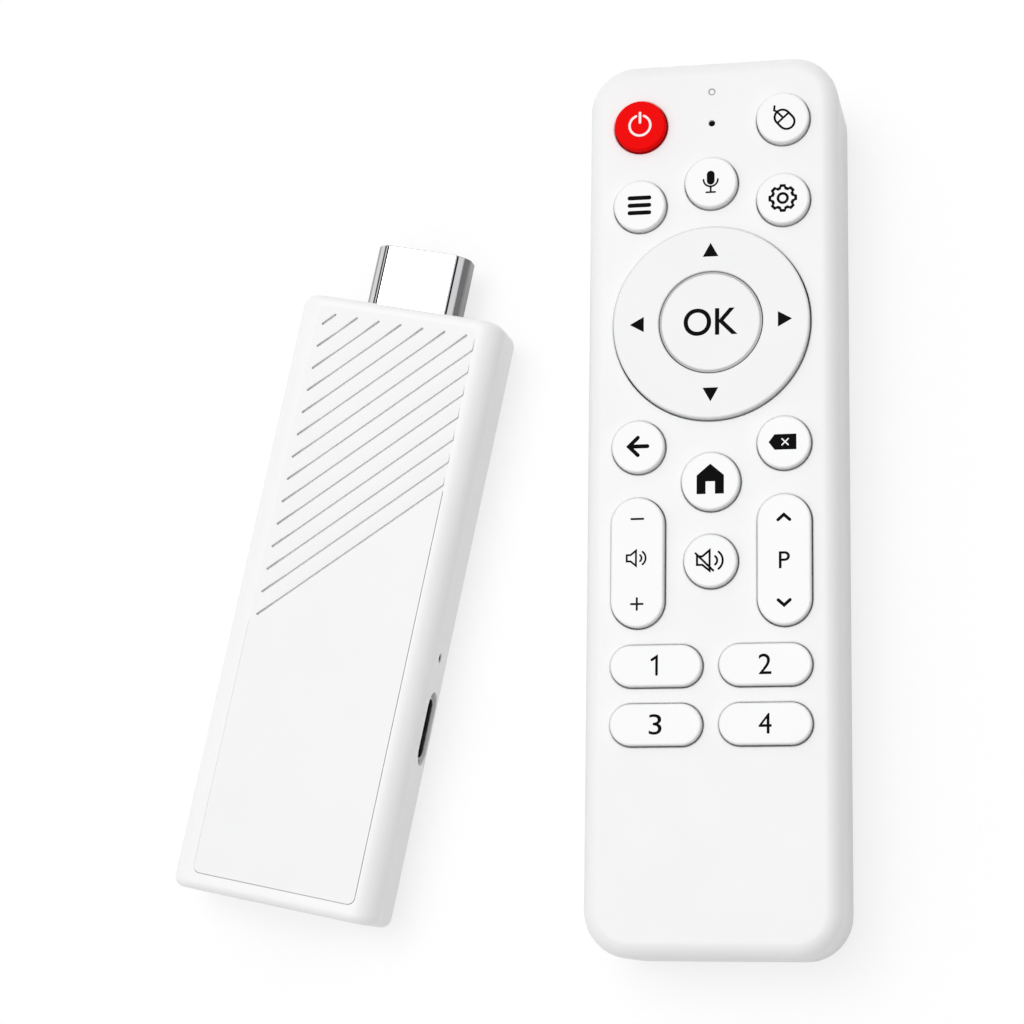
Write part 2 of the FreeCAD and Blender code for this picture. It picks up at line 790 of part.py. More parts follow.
def usb_parts():
    """The wide socket in the end: its shell, and its tongue with the contact bars."""
    shell = stick_piece("usb_socket_shell")
    section = sketch_on(shell, "section", "XZ_Plane", f"-{USB_REAR}")
    wide, tall, wall = "board.usb_wide", "board.usb_tall", "board.usb_wall"
    rounded(section, "0", "stick.deep/2", wide, tall, "board.usb_corner")
    rounded(
        section,
        "0",
        "stick.deep/2",
        f"{wide} - 2*{wall}",
        f"{tall} - 2*{wall}",
        f"board.usb_corner - {wall}",
    )
    pad(shell, section, "board.usb_long")

    tongue = stick_piece("usb_socket_tongue")
    gap = "stick.fit_gap"
    rear_long = "(board.usb_long - board.usb_inset - board.usb_tongue_long)"
    rear_tall = f"{tall} - 2*{wall} - {gap}"
    block(
        tongue,
        "rear",
        ("0", f"{USB_REAR} - {rear_long}/2"),
        f"stick.deep/2 - ({rear_tall})/2",
        (f"{wide} - 2*{wall} - 2*board.usb_corner", rear_long, rear_tall),
    )
    tongue_y = f"{USB_REAR} - {rear_long} - board.usb_tongue_long/2"
    tongue_low = "(stick.deep/2 + board.usb_tongue_off - board.usb_tongue_thick/2)"
    block(
        tongue,
        "tongue",
        ("0", tongue_y),
        tongue_low,
        ("board.usb_tongue_wide", "board.usb_tongue_long", "board.usb_tongue_thick"),
    )
    contacts = stick_piece("usb_socket_contacts")
    for place in (-1.5, -0.5, 0.5, 1.5):
        x = f"{place} * board.usb_pitch"
        size = ("2*board.contact_wide", "board.contact_long", "board.contact_thick")
        block(contacts, "bar", (x, tongue_y), f"{tongue_low} - board.contact_thick", size)


def port_parts():
    """The small power socket in the side: its rounded shell and its tongue."""
    shell = stick_piece("power_socket_shell")
    section = sketch_on(shell, "section", "YZ_Plane", f"{PORT_MOUTH} - board.port_deep")
    long_way, tall, wall = "board.port_long", "board.port_tall", "board.port_wall"
    stadium(section, "stick.port_y", PORT_Z, long_way, tall)
    stadium(section, "stick.port_y", PORT_Z, f"{long_way} - 2*{wall}", f"{tall} - 2*{wall}")
    pad(shell, section, "board.port_deep")

    tongue = stick_piece("power_socket_tongue")
    rear = "(board.port_deep - board.port_inset - board.port_tongue_long)"
    start = f"({PORT_MOUTH} - board.port_deep)"
    block(
        tongue,
        "rear",
        (f"{start} + {rear}/2", "stick.port_y"),
        f"{PORT_Z} - {tall}/2 + {wall} + stick.fit_gap/2",
        (rear, f"{long_way} - {tall}", f"{tall} - 2*{wall} - stick.fit_gap"),
    )
    block(
        tongue,
        "tongue",
        (f"{start} + {rear} + board.port_tongue_long/2", "stick.port_y"),
        f"{PORT_Z} - board.port_tongue_thick/2",
        ("board.port_tongue_long", "board.port_tongue_wide", "board.port_tongue_thick"),
    )


def stick_board():
    """The circuit board, notched round the three connectors."""
    body = stick_piece("stick_circuit_board")
    low_end = f"(-{CAVITY_LONG}/2 + board.edge_gap)"
    high_end = f"({PLUG_REAR} - stick.fit_gap)"
    block(
        body,
        "plate",
        ("0", f"({low_end} + {high_end})/2"),
        BOARD_LOW,
        (f"2*{BOARD_EDGE}", f"{high_end} - {low_end}", "board.thick"),
    )
    gap = "2*stick.fit_gap"
    block(
        body,
        "usb_notch",
        ("0", f"-{STICK_END}"),
        BOARD_LOW,
        (f"board.usb_wide + {gap}", f"2*({USB_REAR} + {STICK_END}) + {gap}", "board.thick"),
        cut=True,
    )
    block(
        body,
        "port_notch",
        ("stick.wide/2", "stick.port_y"),
        BOARD_LOW,
        (
            f"2*(board.port_deep + board.port_inset) + {gap}",
            f"board.port_long + {gap}",
            "board.thick",
        ),
        cut=True,
    )


def stick_chips():
    """What sits on the stick's board, and the plate that carries its heat to the housing."""
    processor = stick_piece("processor")
    chip = ("board.chip_wide", "board.chip_wide", "board.chip_tall")
    block(processor, "case", ("0", "board.chip_y"), BOARD_TOP, chip)

    spreader = stick_piece("heat_spreader")
    spreader_low = f"({FRONT_INSIDE} - board.spreader_thick)"
    plate = ("board.spreader_wide", "board.spreader_long", "board.spreader_thick")
    block(spreader, "plate", ("0", "board.chip_y"), spreader_low, plate)

    thermal = stick_piece("thermal_pad")
    chip_top = f"({BOARD_TOP} + board.chip_tall)"
    pad_size = ("board.chip_wide", "board.chip_wide", f"{spreader_low} - {chip_top}")
    block(thermal, "slab", ("0", "board.chip_y"), chip_top, pad_size)

    memory = stick_piece("memory_chips")
    for place in (-1, 1):
        y = f"board.chip_y + {place} * board.memory_pitch/2"
        size = ("board.memory_wide", "board.memory_long", "board.memory_tall")
        block(memory, "case", ("0", y), f"{BOARD_LOW} - board.memory_tall", size)

    radio = stick_piece("radio_module")
    size = ("board.radio_wide", "board.radio_wide", "board.radio_tall")
    block(radio, "can", ("board.radio_x", "board.radio_y"), BOARD_TOP, size)

    antenna = stick_piece("antenna")
    size = ("board.antenna_wide", "board.antenna_long", "board.antenna_tall")
    x = f"-{BOARD_EDGE} + 2*board.antenna_wide"
    block(antenna, "bar", (x, "board.radio_y - board.radio_wide"), BOARD_TOP, size)

    coils = stick_piece("power_inductors")
    for place in (-1, 1):
        size = ("board.coil_wide", "board.coil_wide", "board.coil_tall")
        x = f"{place} * board.coil_pitch/2"
        block(coils, "case", (x, "board.coil_y"), f"{BOARD_LOW} - board.coil_tall", size)

    crystal = stick_piece("stick_crystal")
    size = ("board.crystal_wide", "board.crystal_long", "board.crystal_tall")
    y = "board.chip_y + board.chip_wide/2 + 2*board.crystal_long"
    block(crystal, "can", ("0", y), BOARD_TOP, size)


def reset_switch():
    """The side-press switch behind the pinhole, and its plunger."""
    case = stick_piece("reset_switch")
    middle = (f"{BOARD_EDGE} - board.switch_deep/2", "stick.reset_y")
    size = ("board.switch_deep", "board.switch_long", "board.switch_tall")
    block(case, "case", middle, BOARD_TOP, size)
    gap = "board.plunger_gap"
    bore_deep = f"(board.plunger_in + board.press + {gap})"
    block(
        case,
        "bore",
        (BOARD_EDGE, "stick.reset_y"),
        f"{RESET_Z} - board.plunger_tall/2 - {gap}",
        (
            f"2*{bore_deep}",
            f"board.plunger_long + 2*{gap}",
            f"board.plunger_tall + 2*{gap}",
        ),
        cut=True,
    )
    plunger = stick_piece("reset_plunger")
    block(
        plunger,
        "bar",
        (f"{BOARD_EDGE} + (board.plunger_out - board.plunger_in)/2", "stick.reset_y"),
        f"{RESET_Z} - board.plunger_tall/2",
        ("board.plunger_in + board.plunger_out", "board.plunger_long", "board.plunger_tall"),
    )


def remote_outline(body, low, height):
    """Raises the remote's plan outline between two levels."""
    outline = sketch_on(body, "outline", lift=low)
    rounded(outline, "0", "0", "remote.wide", "remote.long_side", "remote.corner")
    pad(body, outline, height)


def hollow(body, level, depth, flip):
    """Cuts the inside of a cover, one wall in from the outline."""
    inside = sketch_on(body, "inside", lift=level)
    step = "2*remote.wall"
    corner = "remote.corner - remote.wall"
    rounded(inside, "0", "0", f"remote.wide - {step}", f"remote.long_side - {step}", corner)
    pocket(body, inside, depth, flip=flip)


def remote_top_cover():
    """The front cover, with a hole for each key, the light and the microphone."""
    body = remote_piece("remote_top_cover")
    remote_outline(body, "remote.split", f"{FACE} - remote.split")
    face = value(FACE)
    ease(body, "Fillet", "remote.front_round", lambda edge: lies_at(edge, "z", face))
    hollow(body, "remote.split", f"{FACE_INSIDE} - remote.split", True)
    holes = sketch_on(body, "holes", lift=FACE)
    gap = "2*keys.hole_gap"
    for x, y, wide in ROUND_KEYS.values():
        circle(holes, x, y, f"{wide} + {gap}")
    circle(holes, *PAD_PLACE, "keys.pad_wide + 2*keys.pad_gap")
    for x, y in ROCKERS.values():
        sizes = (f"keys.rocker_long + {gap}", f"keys.rocker_wide + {gap}")
        stadium(holes, x, y, *sizes, upright=True)
    for x, y in APP_KEYS.values():
        stadium(holes, x, y, f"keys.app_long + {gap}", f"keys.app_wide + {gap}")
    circle(holes, "0", LIGHT_Y, "remote.light_wide + remote.fit_gap")
    circle(holes, "0", SOUND_Y, "remote.sound_hole")
    pocket(body, holes, f"remote.wall + {BEYOND}")
    led_hole(body)


def led_hole(body):
    """Cuts the infrared light's way through the end wall."""
    start = ("0", f"{REMOTE_END} - 2*remote.wall", LED_Z)
    wide = "remote.led_wide + 2*remote.led_gap"
    rod(body, "led_hole", start, wide, "3*remote.wall", "Y", cut=True)


def remote_bottom_cover():
    """The back cover, with the battery bay, the door's opening and the board's bosses."""
    body = remote_piece("remote_bottom_cover")
    remote_outline(body, "0", "remote.split")
    ease(body, "Fillet", "remote.back_round", lambda edge: lies_at(edge, "z", 0))
    hollow(body, "remote.split", "remote.split - remote.floor_thick", False)
    lip = sketch_on(body, "lip", lift="remote.floor_thick")
    step = "(2*remote.wall + 2*remote.fit_gap)"
    inner = f"({step} + 2*remote.lip_thick)"
    corner = "remote.corner - remote.wall - remote.fit_gap"
    rounded(lip, "0", "0", f"remote.wide - {step}", f"remote.long_side - {step}", corner)
    rounded(
        lip,
        "0",
        "0",
        f"remote.wide - {inner}",
        f"remote.long_side - {inner}",
        f"{corner} - remote.lip_thick",
    )
    pad(body, lip, "remote.split - remote.floor_thick + remote.lip_tall")
    tub = (f"{BAY_WIDE} + 2*remote.bay_wall", f"{BAY_LONG} + 2*remote.bay_wall")
    middle = ("0", BAY_MIDDLE)
    block(body, "bay", middle, "remote.floor_thick/2", (*tub, f"{CIRCUIT_LOW} - remote.floor_thick/2"))
    start = ("0", BOSS_Y, "remote.floor_thick/2")
    rod(body, "boss", start, "remote.boss_wide", f"{CIRCUIT_LOW} - remote.floor_thick/2")
    size = (BAY_WIDE, BAY_LONG, f"{BAY_TOP} + {BEYOND}")
    block(body, "bay_inside", middle, f"-{BEYOND}", size, cut=True)
    door = "(remote.door_wide + 2*remote.door_gap)"
    length = "(remote.door_long + remote.door_gap)"
    block(
        body,
        "door_opening",
        ("0", f"-{REMOTE_END} + {length} - remote.long_side/2"),
        f"-{BEYOND}",
        (door, "remote.long_side", f"remote.door_thick + remote.door_gap + {BEYOND}"),
        cut=True,
    )
    end_deep = f"(remote.wall + remote.door_gap)"
    block(
        body,
        "end_opening",
        ("0", f"-{REMOTE_END} + ({end_deep} - {BEYOND})/2"),
        f"-{BEYOND}",
        (door, f"{end_deep} + {BEYOND}", f"remote.split + remote.lip_tall + 2*{BEYOND}"),
        cut=True,
    )
    rail = "remote.rail_thick + 2*remote.door_gap"
    block(
        body,
        "rail_groove",
        ("0", f"-{REMOTE_END} + ({length} - {BEYOND})/2"),
        "remote.door_thick - remote.rail_thick - remote.door_gap",
        (f"{door} + 2*remote.rail_out", f"{length} + {BEYOND}", rail),
        cut=True,
    )
    start = ("0", BOSS_Y, f"{CIRCUIT_LOW} - remote.screw_long")
    rod(body, "pilot", start, "remote.screw_wide", "2*remote.screw_long", cut=True)
    led_hole(body)


def battery_cover():
    """The sliding door under the batteries, which carries a piece of the end wall."""
    body = remote_piece("battery_cover")
    remote_outline(body, "0", "remote.split - remote.fit_gap")
    ease(body, "Fillet", "remote.back_round", lambda edge: lies_at(edge, "z", 0))
    block(
        body,
        "above_plate",
        ("0", "remote.wall"),
        "remote.door_thick",
        (f"remote.wide + 2*{BEYOND}", "remote.long_side", "remote.split"),
        cut=True,
    )
    trim = sketch_on(body, "trim")
    oblong(trim, "0", "0", "2*remote.wide", "2*remote.long_side")
    top = f"(-{REMOTE_END} + remote.door_long)"
    length = f"(remote.door_long + {BEYOND})"
    oblong(trim, "0", f"{top} - {length}/2", "remote.door_wide", length)
    pocket(body, trim, "2*remote.split", flip=True)
    rail_from = f"(-{REMOTE_END} + 2*remote.wall)"
    rail_long = f"({top} - {rail_from} - remote.door_gap)"
    block(
        body,
        "rails",
        ("0", f"{rail_from} + {rail_long}/2"),
        "remote.door_thick - remote.rail_thick",
        (
            "remote.door_wide + 2*remote.rail_out - 2*remote.fit_gap",
            rail_long,
            "remote.rail_thick",
        ),
    )
    groove = sketch_on(body, "grip")
    y = f"{top} - remote.grip_down"
    oblong(groove, "0", y, "remote.grip_wide", "remote.grip_groove")
    grip = pocket(body, groove, "remote.grip_deep", flip=True)
    repeat(body, grip, groove, "V_Axis", "remote.grip_pitch", "remote.grip_count")


def cell(name, side, reverse):
    """One AAA cell, its raised cap towards +Y unless reversed."""
    body = remote_piece(name, f"{side} * {CELL_X}", cell_middle(reverse), CELL_Z)
    if reverse:
        body.Placement = FreeCAD.Placement(
            body.Placement.Base, FreeCAD.Rotation(FreeCAD.Vector(0, 0, 1), 180)
        )
    section = sketch_on(body, "section")
    half = "remote.cell_long/2"
    radius, cap = "remote.cell_wide/2", "remote.cap_wide/2"
    polygon(
        section,
        [
            ("0", f"-{half}"),
            (radius, f"-{half}"),
            (radius, f"{half} - remote.cap_tall"),
            (cap, f"{half} - remote.cap_tall"),
            (cap, half),
            ("0", half),
        ],
    )
    spin(body, section)


def cell_middle(reverse):
    """The middle of a cell: its cap touches a flat plate, its base the spring."""
    plate = "remote.plate_thick"
    if reverse:
        return f"{BAY_FROM} + {plate} + remote.cell_long/2"
    return f"{BAY_FROM} + {BAY_LONG} - {plate} - remote.cell_long/2"


def battery_contacts():
    """The springs at the cells' bases, and the plates at both ends of the bay."""
    plates = remote_piece("battery_plates")
    size = ("remote.plate_wide", "remote.plate_thick", "remote.plate_wide")
    for side in SIDES:
        for y in (
            f"{BAY_FROM} + remote.plate_thick/2",
            f"{BAY_FROM} + {BAY_LONG} - remote.plate_thick/2",
        ):
            low = f"{CELL_Z} - remote.plate_wide/2"
            block(plates, "plate", (f"{side} * {CELL_X}", y), low, size)

    springs = remote_piece("battery_springs")
    for side, y, way in (
        ("-1", f"({BAY_FROM} + remote.plate_thick)", "1"),
        ("1", f"({BAY_FROM} + {BAY_LONG} - remote.plate_thick)", "-1"),
    ):
        leaf_spring(springs, side, y, way)


def leaf_spring(body, side, y, way):
    """A bent strip: it stands on its plate and bows out to the base of the cell."""
    half = "remote.spring_wide/2"
    strip = sketch_on(body, "strip", "YZ_Plane", f"{side} * {CELL_X} - {half}")
    thick = "remote.spring_thick"
    reach = "(remote.spring_room - remote.plate_thick - remote.fit_gap)"
    low, high = f"{CELL_Z} - remote.spring_tall/2", f"{CELL_Z} + remote.spring_tall/2"
    corners = [
        ("0", low),
        (thick, low),
        (reach, f"{CELL_Z} - 2*{thick}"),
        (reach, f"{CELL_Z} + 2*{thick}"),
        (f"3*{thick}", high),
        (f"2*{thick}", f"{high} - {thick}"),
        (f"{reach} - {thick}", f"{CELL_Z} + {thick}"),
        (f"{reach} - {thick}", f"{CELL_Z} - {thick}"),
        (thick, f"{low} + 3*{thick}"),
        (thick, high),
        ("0", high),
    ]
    polygon(strip, [(f"{y} + {way} * ({reach_out})", z) for reach_out, z in corners])
    pad(body, strip, "remote.spring_wide")


def remote_board():
    """The remote's circuit board and what is soldered to it."""
    body = remote_piece("remote_circuit_board")
    inside = ("remote.wide - 2*remote.wall", "remote.long_side - 2*remote.wall")
    plate = sketch_on(body, "plate", lift=CIRCUIT_LOW)
    rounded(
        plate,
        "0",
        "0",
        f"{inside[0]} - 2*remote.board_edge",
        f"{inside[1]} - 2*remote.board_short",
        "remote.corner - remote.wall - remote.board_edge",
    )
    circle(plate, "0", BOSS_Y, "remote.screw_wide + 2*remote.fit_gap")
    pad(body, plate, "remote.board_thick")

    screw = remote_piece("board_screw")
    place = ("0", BOSS_Y)
    rod(screw, "head", (*place, CIRCUIT_TOP), "remote.screw_head", "remote.screw_head_tall")
    shank = (*place, f"{CIRCUIT_TOP} - remote.screw_long")
    rod(screw, "shank", shank, "remote.screw_wide - remote.fit_gap", "remote.screw_long")

    chip = remote_piece("remote_chip")
    size = ("remote.chip_wide", "remote.chip_wide", "remote.chip_tall")
    block(chip, "case", ("0", CHIP_Y), f"{CIRCUIT_LOW} - remote.chip_tall", size)

    crystal = remote_piece("remote_crystal")
    size = ("remote.crystal_wide", "remote.crystal_long", "remote.crystal_tall")
    block(crystal, "can", ("0", CRYSTAL_Y), f"{CIRCUIT_LOW} - remote.crystal_tall", size)

    sound = remote_piece("microphone")
    size = ("remote.sound_box", "remote.sound_box", "remote.sound_tall")
    block(sound, "can", ("0", SOUND_Y), CIRCUIT_TOP, size)

    light = remote_piece("status_light")
    start = ("0", LIGHT_Y, CIRCUIT_TOP)
    rod(light, "pipe", start, "remote.light_wide", f"{FACE} - {CIRCUIT_TOP}")

    led = remote_piece("infrared_led", z=LED_Z)
    section = sketch_on(led, "section")
    tip = f"({REMOTE_END} + remote.led_out)"
    back = f"({tip} - remote.led_body)"
    lens, rim = "remote.led_wide/2", "remote.led_rim/2"
    polygon(
        section,
        [
            ("0", back),
            (rim, back),
            (rim, f"{back} + remote.led_flange"),
            (lens, f"{back} + remote.led_flange"),
            (lens, f"{tip} - remote.led_nose"),
            (f"{lens} - remote.led_nose", tip),
            ("0", tip),
        ],
    )
    spin(led, section)


def stud_places():
    """Where the mat has a stud: under the foot of each key, rocker end and pad arrow."""
    places = [(x, y) for x, y, wide in ROUND_KEYS.values()]
    places += list(APP_KEYS.values()) + [PAD_PLACE]
    for x, y in ROCKERS.values():
        places += [(x, f"{y} + {side} * keys.rocker_foot") for side in SIDES]
    reach = "(keys.pad_wide/2 - keys.ring_wall/2)"
    places += [(f"{side} * {reach}", PAD_PLACE[1]) for side in SIDES]
    places += [("0", f"{PAD_PLACE[1]} + {side} * {reach}") for side in SIDES]
    return places


def keypad_mat():
    """The silicone mat under the keys, one springy stud to each foot."""
    body = remote_piece("keypad_mat")
    sheet = sketch_on(body, "sheet", lift=CIRCUIT_TOP)
    middle = f"({REMOTE_END} - (remote.mat_top_down + remote.mat_low_down)/2)"
    wide = "remote.wide - 2*remote.wall - 2*remote.board_edge - 2*remote.mat_edge"
    tall = "remote.mat_low_down - remote.mat_top_down"
    corner = "remote.corner - remote.wall - remote.board_edge - remote.mat_edge"
    rounded(sheet, "0", middle, wide, tall, corner)
    for y, wide in (
        (LIGHT_Y, "2*remote.light_wide"),
        (SOUND_Y, "remote.sound_room"),
        (BOSS_Y, "remote.screw_head + 4*remote.fit_gap"),
    ):
        oblong(sheet, "0", y, wide, wide)
    pad(body, sheet, "remote.mat_thick")
    stud = ("remote.stud_wide", "remote.stud_wide", f"{STUD_TOP} - {MAT_TOP}")
    for place in stud_places():
        block(body, "stud", place, MAT_TOP, stud)


def lugs(body, wide, top):
    """The bar under a cap whose ends hold it behind the cover; returns its underside."""
    low = f"({top} - keys.lug_thick)"
    size = (f"({wide}) + 2*keys.lug_out", "keys.lug_wide", "keys.lug_thick")
    block(body, "lugs", ("0", "0"), low, size)
    return low


def foot(body, top):
    """The foot between a cap and the mat's stud."""
    size = ("keys.foot_wide", "keys.foot_wide", f"{top} - {STUD_TOP}")
    block(body, "foot", ("0", "0"), STUD_TOP, size)


def round_cap(body, wide, under):
    """A disc from its underside up to the key top, bevelled at its rim."""
    section = sketch_on(body, "section", "XZ_Plane")
    radius = f"({wide})/2"
    shoulder = f"{KEY_TOP} - keys.bevel"
    inner = f"{radius} - keys.bevel"
    corners = [("0", under), (radius, under), (radius, shoulder), (inner, KEY_TOP)]
    polygon(section, [*corners, ("0", KEY_TOP)])
    spin(body, section)


def long_cap(body, sizes, under, upright=False):
    """A cap with half-round ends, bevelled at its rim."""
    cap = sketch_on(body, "cap", lift=under)
    stadium(cap, "0", "0", *sizes, upright=upright)
    pad(body, cap, f"{KEY_TOP} - {under}")
    top = value(KEY_TOP)
    ease(body, "Chamfer", "keys.bevel", lambda edge: lies_at(edge, "z", top))


def direction_pad():
    """The rocking ring, the soft boot inside it and the OK key in its middle."""
    ring = remote_piece("direction_ring", *PAD_PLACE)
    section = sketch_on(ring, "section", "XZ_Plane")
    outer = "(keys.pad_wide/2)"
    wall = f"({outer} - keys.ring_wall)"
    polygon(
        section,
        [
            (RING_INSIDE, RING_UNDER),
            (wall, RING_UNDER),
            (wall, STUD_TOP),
            (outer, STUD_TOP),
            (outer, f"{KEY_TOP} - keys.bevel"),
            (f"{outer} - keys.bevel", KEY_TOP),
            (RING_INSIDE, KEY_TOP),
        ],
    )
    spin(ring, section)
    for side in SIDES:
        size = ("2*keys.lug_out", "keys.lug_wide", "keys.lug_thick")
        block(ring, "lug", (f"{side} * {outer}", "0"), STUD_TOP, size)

    boot = remote_piece("direction_boot", *PAD_PLACE)
    band = sketch_on(boot, "band", lift=f"{MAT_TOP} + keys.boot_lift")
    circle(band, "0", "0", f"2*({wall} - keys.boot_gap)")
    circle(band, "0", "0", f"2*({RING_INSIDE} + keys.lug_out + keys.boot_gap)")
    pad(boot, band, "keys.boot_tall")

    ok_key = remote_piece("ok_key", *PAD_PLACE)
    round_cap(ok_key, "keys.ok_wide", OK_LUG_TOP)
    foot(ok_key, lugs(ok_key, f"2*{RING_INSIDE}", OK_LUG_TOP))


def remote_keys():
    """Every key cap of the remote."""
    for name, (x, y, wide) in ROUND_KEYS.items():
        key = remote_piece(name, x, y)
        round_cap(key, wide, LUG_TOP)
        foot(key, lugs(key, wide, LUG_TOP))
    for name, place in APP_KEYS.items():
        key = remote_piece(name, *place)
        long_cap(key, ("keys.app_long", "keys.app_wide"), LUG_TOP)
        foot(key, lugs(key, "keys.app_long", LUG_TOP))
    for name, place in ROCKERS.items():
        key = remote_piece(name, *place)
        long_cap(key, ("keys.rocker_long", "keys.rocker_wide"), STUD_TOP, upright=True)
        lugs(key, "keys.rocker_wide", ROCK_TOP)
    direction_pad()


def faults():
    """Every object that failed, every cut that removed nothing and every unsound shape."""
    found = []
    for item in document.Objects:
        if "Invalid" in item.State or "Error" in item.State:
            found.append(f"{item.Label} failed to compute")
        if item.isDerivedFrom("PartDesign::Pocket") and not item.Shape.isNull():
            before = item.BaseFeature.Shape.Volume
            if item.Shape.Volume > before - 1e-6:
                found.append(f"{item.Label} cut nothing")
    for body in pieces:
        if body.Shape.isNull() or not body.Shape.isValid() or not body.Shape.Solids:
            found.append(f"{body.Label} has no sound shape")
    return found


def write_parts():
    """Writes each piece to a STEP file named after its label."""
    os.makedirs("parts", exist_ok=True)
    for body in pieces:
        body.Shape.exportStep(f"parts/{body.Label}.step")
        print(f"{body.Label}: {len(body.Shape.Solids)} solid, {body.Shape.Volume:.1f} mm3")


stick_housing()
stick_back_cover()
stick_front_panel()
plug_parts()
usb_parts()
port_parts()
stick_board()
stick_chips()
reset_switch()
remote_top_cover()
remote_bottom_cover()
battery_cover()
cell("battery_left", "-1", False)
cell("battery_right", "1", True)
battery_contacts()
remote_board()
keypad_mat()
remote_keys()
document.recompute()
problems = faults()
if problems:
    raise RuntimeError("; ".join(problems))
write_parts()
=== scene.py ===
"""A television streaming stick beside its remote control, in Blender pieces on the part's frame."""

import math

import bmesh
import bpy
from mathutils import Matrix, Vector


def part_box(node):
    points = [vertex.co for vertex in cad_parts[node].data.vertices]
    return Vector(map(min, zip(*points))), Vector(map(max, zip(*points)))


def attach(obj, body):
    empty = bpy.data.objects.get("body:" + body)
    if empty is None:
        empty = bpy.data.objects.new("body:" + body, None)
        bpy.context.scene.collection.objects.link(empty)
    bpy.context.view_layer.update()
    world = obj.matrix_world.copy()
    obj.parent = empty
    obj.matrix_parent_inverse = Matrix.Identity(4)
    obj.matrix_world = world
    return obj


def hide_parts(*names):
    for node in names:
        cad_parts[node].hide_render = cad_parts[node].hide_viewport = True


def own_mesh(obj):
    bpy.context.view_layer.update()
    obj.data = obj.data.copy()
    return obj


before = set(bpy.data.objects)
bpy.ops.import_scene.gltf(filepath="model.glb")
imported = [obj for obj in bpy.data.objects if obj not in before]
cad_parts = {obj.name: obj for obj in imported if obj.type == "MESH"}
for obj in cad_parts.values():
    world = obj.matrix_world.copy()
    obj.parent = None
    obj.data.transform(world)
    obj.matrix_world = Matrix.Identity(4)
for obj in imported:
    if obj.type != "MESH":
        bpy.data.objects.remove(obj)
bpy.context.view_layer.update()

# Units and places. Lengths are millimetres in each item's own axes.
MM = 0.001
STICK = Matrix.Rotation(math.radians(-11.3), 4, "Z")
remote_low, remote_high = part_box("remote_top_cover")
remote_middle = (remote_low + remote_high) / 2
REMOTE = Matrix.Translation((remote_middle.x, remote_middle.y, 0))


class Span:
    """The room that a CAD node takes in its item's own axes."""

    def __init__(self, node, place):
        back = place.inverted()
        points = [back @ v.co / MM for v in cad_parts[node].data.vertices]
        self.low = Vector([min(p[i] for p in points) for i in range(3)])
        self.high = Vector([max(p[i] for p in points) for i in range(3)])
        self.size = self.high - self.low
        self.middle = (self.low + self.high) / 2


# Outlines and solids

CLEAR = 1.0  # how far a cutter runs on past the surface that it cuts
AXIS_RADIUS = 0.001
MOUTH_FLARE = 0.12
MERGE = 0.0005


def arc(radius, at=(0, 0), start=0, end=360, steps=32):
    """Points on a part of a circle, or once around it."""
    count = steps if end - start == 360 else steps + 1
    turns = [math.radians(start + (end - start) * i / steps) for i in range(count)]
    return [(at[0] + radius * math.cos(a), at[1] + radius * math.sin(a)) for a in turns]


def rounded(wide, tall, corner, steps=8):
    """A rectangle with one or four corner radii, anticlockwise from its upper right."""
    radii = corner if isinstance(corner, tuple) else (corner,) * 4
    points = []
    for quarter, (x, y) in enumerate(((1, 1), (-1, 1), (-1, -1), (1, -1))):
        radius = max(radii[quarter], AXIS_RADIUS)
        middle = (x * (wide / 2 - radius), y * (tall / 2 - radius))
        points += arc(radius, middle, 90 * quarter, 90 * quarter + 90, steps)
    return points


def smooth_corners(corners, rounds, steps=5):
    """An outline of straight sides whose corners are eased by short curves."""
    points = []
    for i, corner in enumerate(corners):
        here = Vector(corner)
        before, after = Vector(corners[i - 1]), Vector(corners[(i + 1) % len(corners)])
        start = here + (before - here).normalized() * rounds[i]
        end = here + (after - here).normalized() * rounds[i]
        for step in range(steps + 1):
            t = step / steps
            points.append(tuple(start * (1 - t) ** 2 + here * 2 * t * (1 - t) + end * t**2))
    return points


def cleaned(form):
    """The form without doubled points or collapsed edges."""
    bmesh.ops.remove_doubles(form, verts=form.verts, dist=MERGE)
    bmesh.ops.dissolve_degenerate(form, edges=form.edges, dist=MERGE)
    return form


def skin(form, near, far):
    """Joins two rings of points with faces."""
    for i in range(len(near)):
        j = (i + 1) % len(near)
        form.faces.new((near[i], near[j], far[j], far[i]))


def loft(rings):
    """A closed solid through rings of the same number of points."""
    form = bmesh.new()
    loops = [[form.verts.new(point) for point in ring] for ring in rings]
    for near, far in zip(loops, loops[1:]):
        skin(form, near, far)
    form.faces.new(list(reversed(loops[0])))
    form.faces.new(loops[-1])
    bmesh.ops.recalc_face_normals(cleaned(form), faces=form.faces)
    return form


def lathe(profile, steps=64, at=(0, 0)):
    """A ring or disc turned from a closed profile of radius and level pairs."""
    form = bmesh.new()
    loops = []
    for radius, level in profile:
        ring = arc(radius, at, steps=steps)
        loops.append([form.verts.new((x, y, level)) for x, y in ring])
    for near, far in zip(loops, loops[1:] + loops[:1]):
        skin(form, near, far)
    bmesh.ops.recalc_face_normals(cleaned(form), faces=form.faces)
    return form


def spun(profile, steps, at=(0, 0)):
    """A solid turned from an open profile, closed along its axis."""
    ends = [(AXIS_RADIUS, profile[i][1]) for i in (0, -1)]
    return lathe([ends[0], *profile, ends[1]], steps, at)


def edge(radius, steps):
    """Insets and drops of a quarter round from a wall to a flat, or of a square edge."""
    angles = [math.radians(90 * i / steps) for i in range(steps + 1)] if radius else [0]
    return [(radius * (1 - math.cos(a)), radius * (1 - math.sin(a))) for a in angles]


def eased(low, high, low_round, high_round, steps=6):
    """Insets and levels of a wall whose two edges are round."""
    below = [(inset, low + drop) for inset, drop in reversed(edge(low_round, steps))]
    return below + [(inset, high - drop) for inset, drop in edge(high_round, steps)]


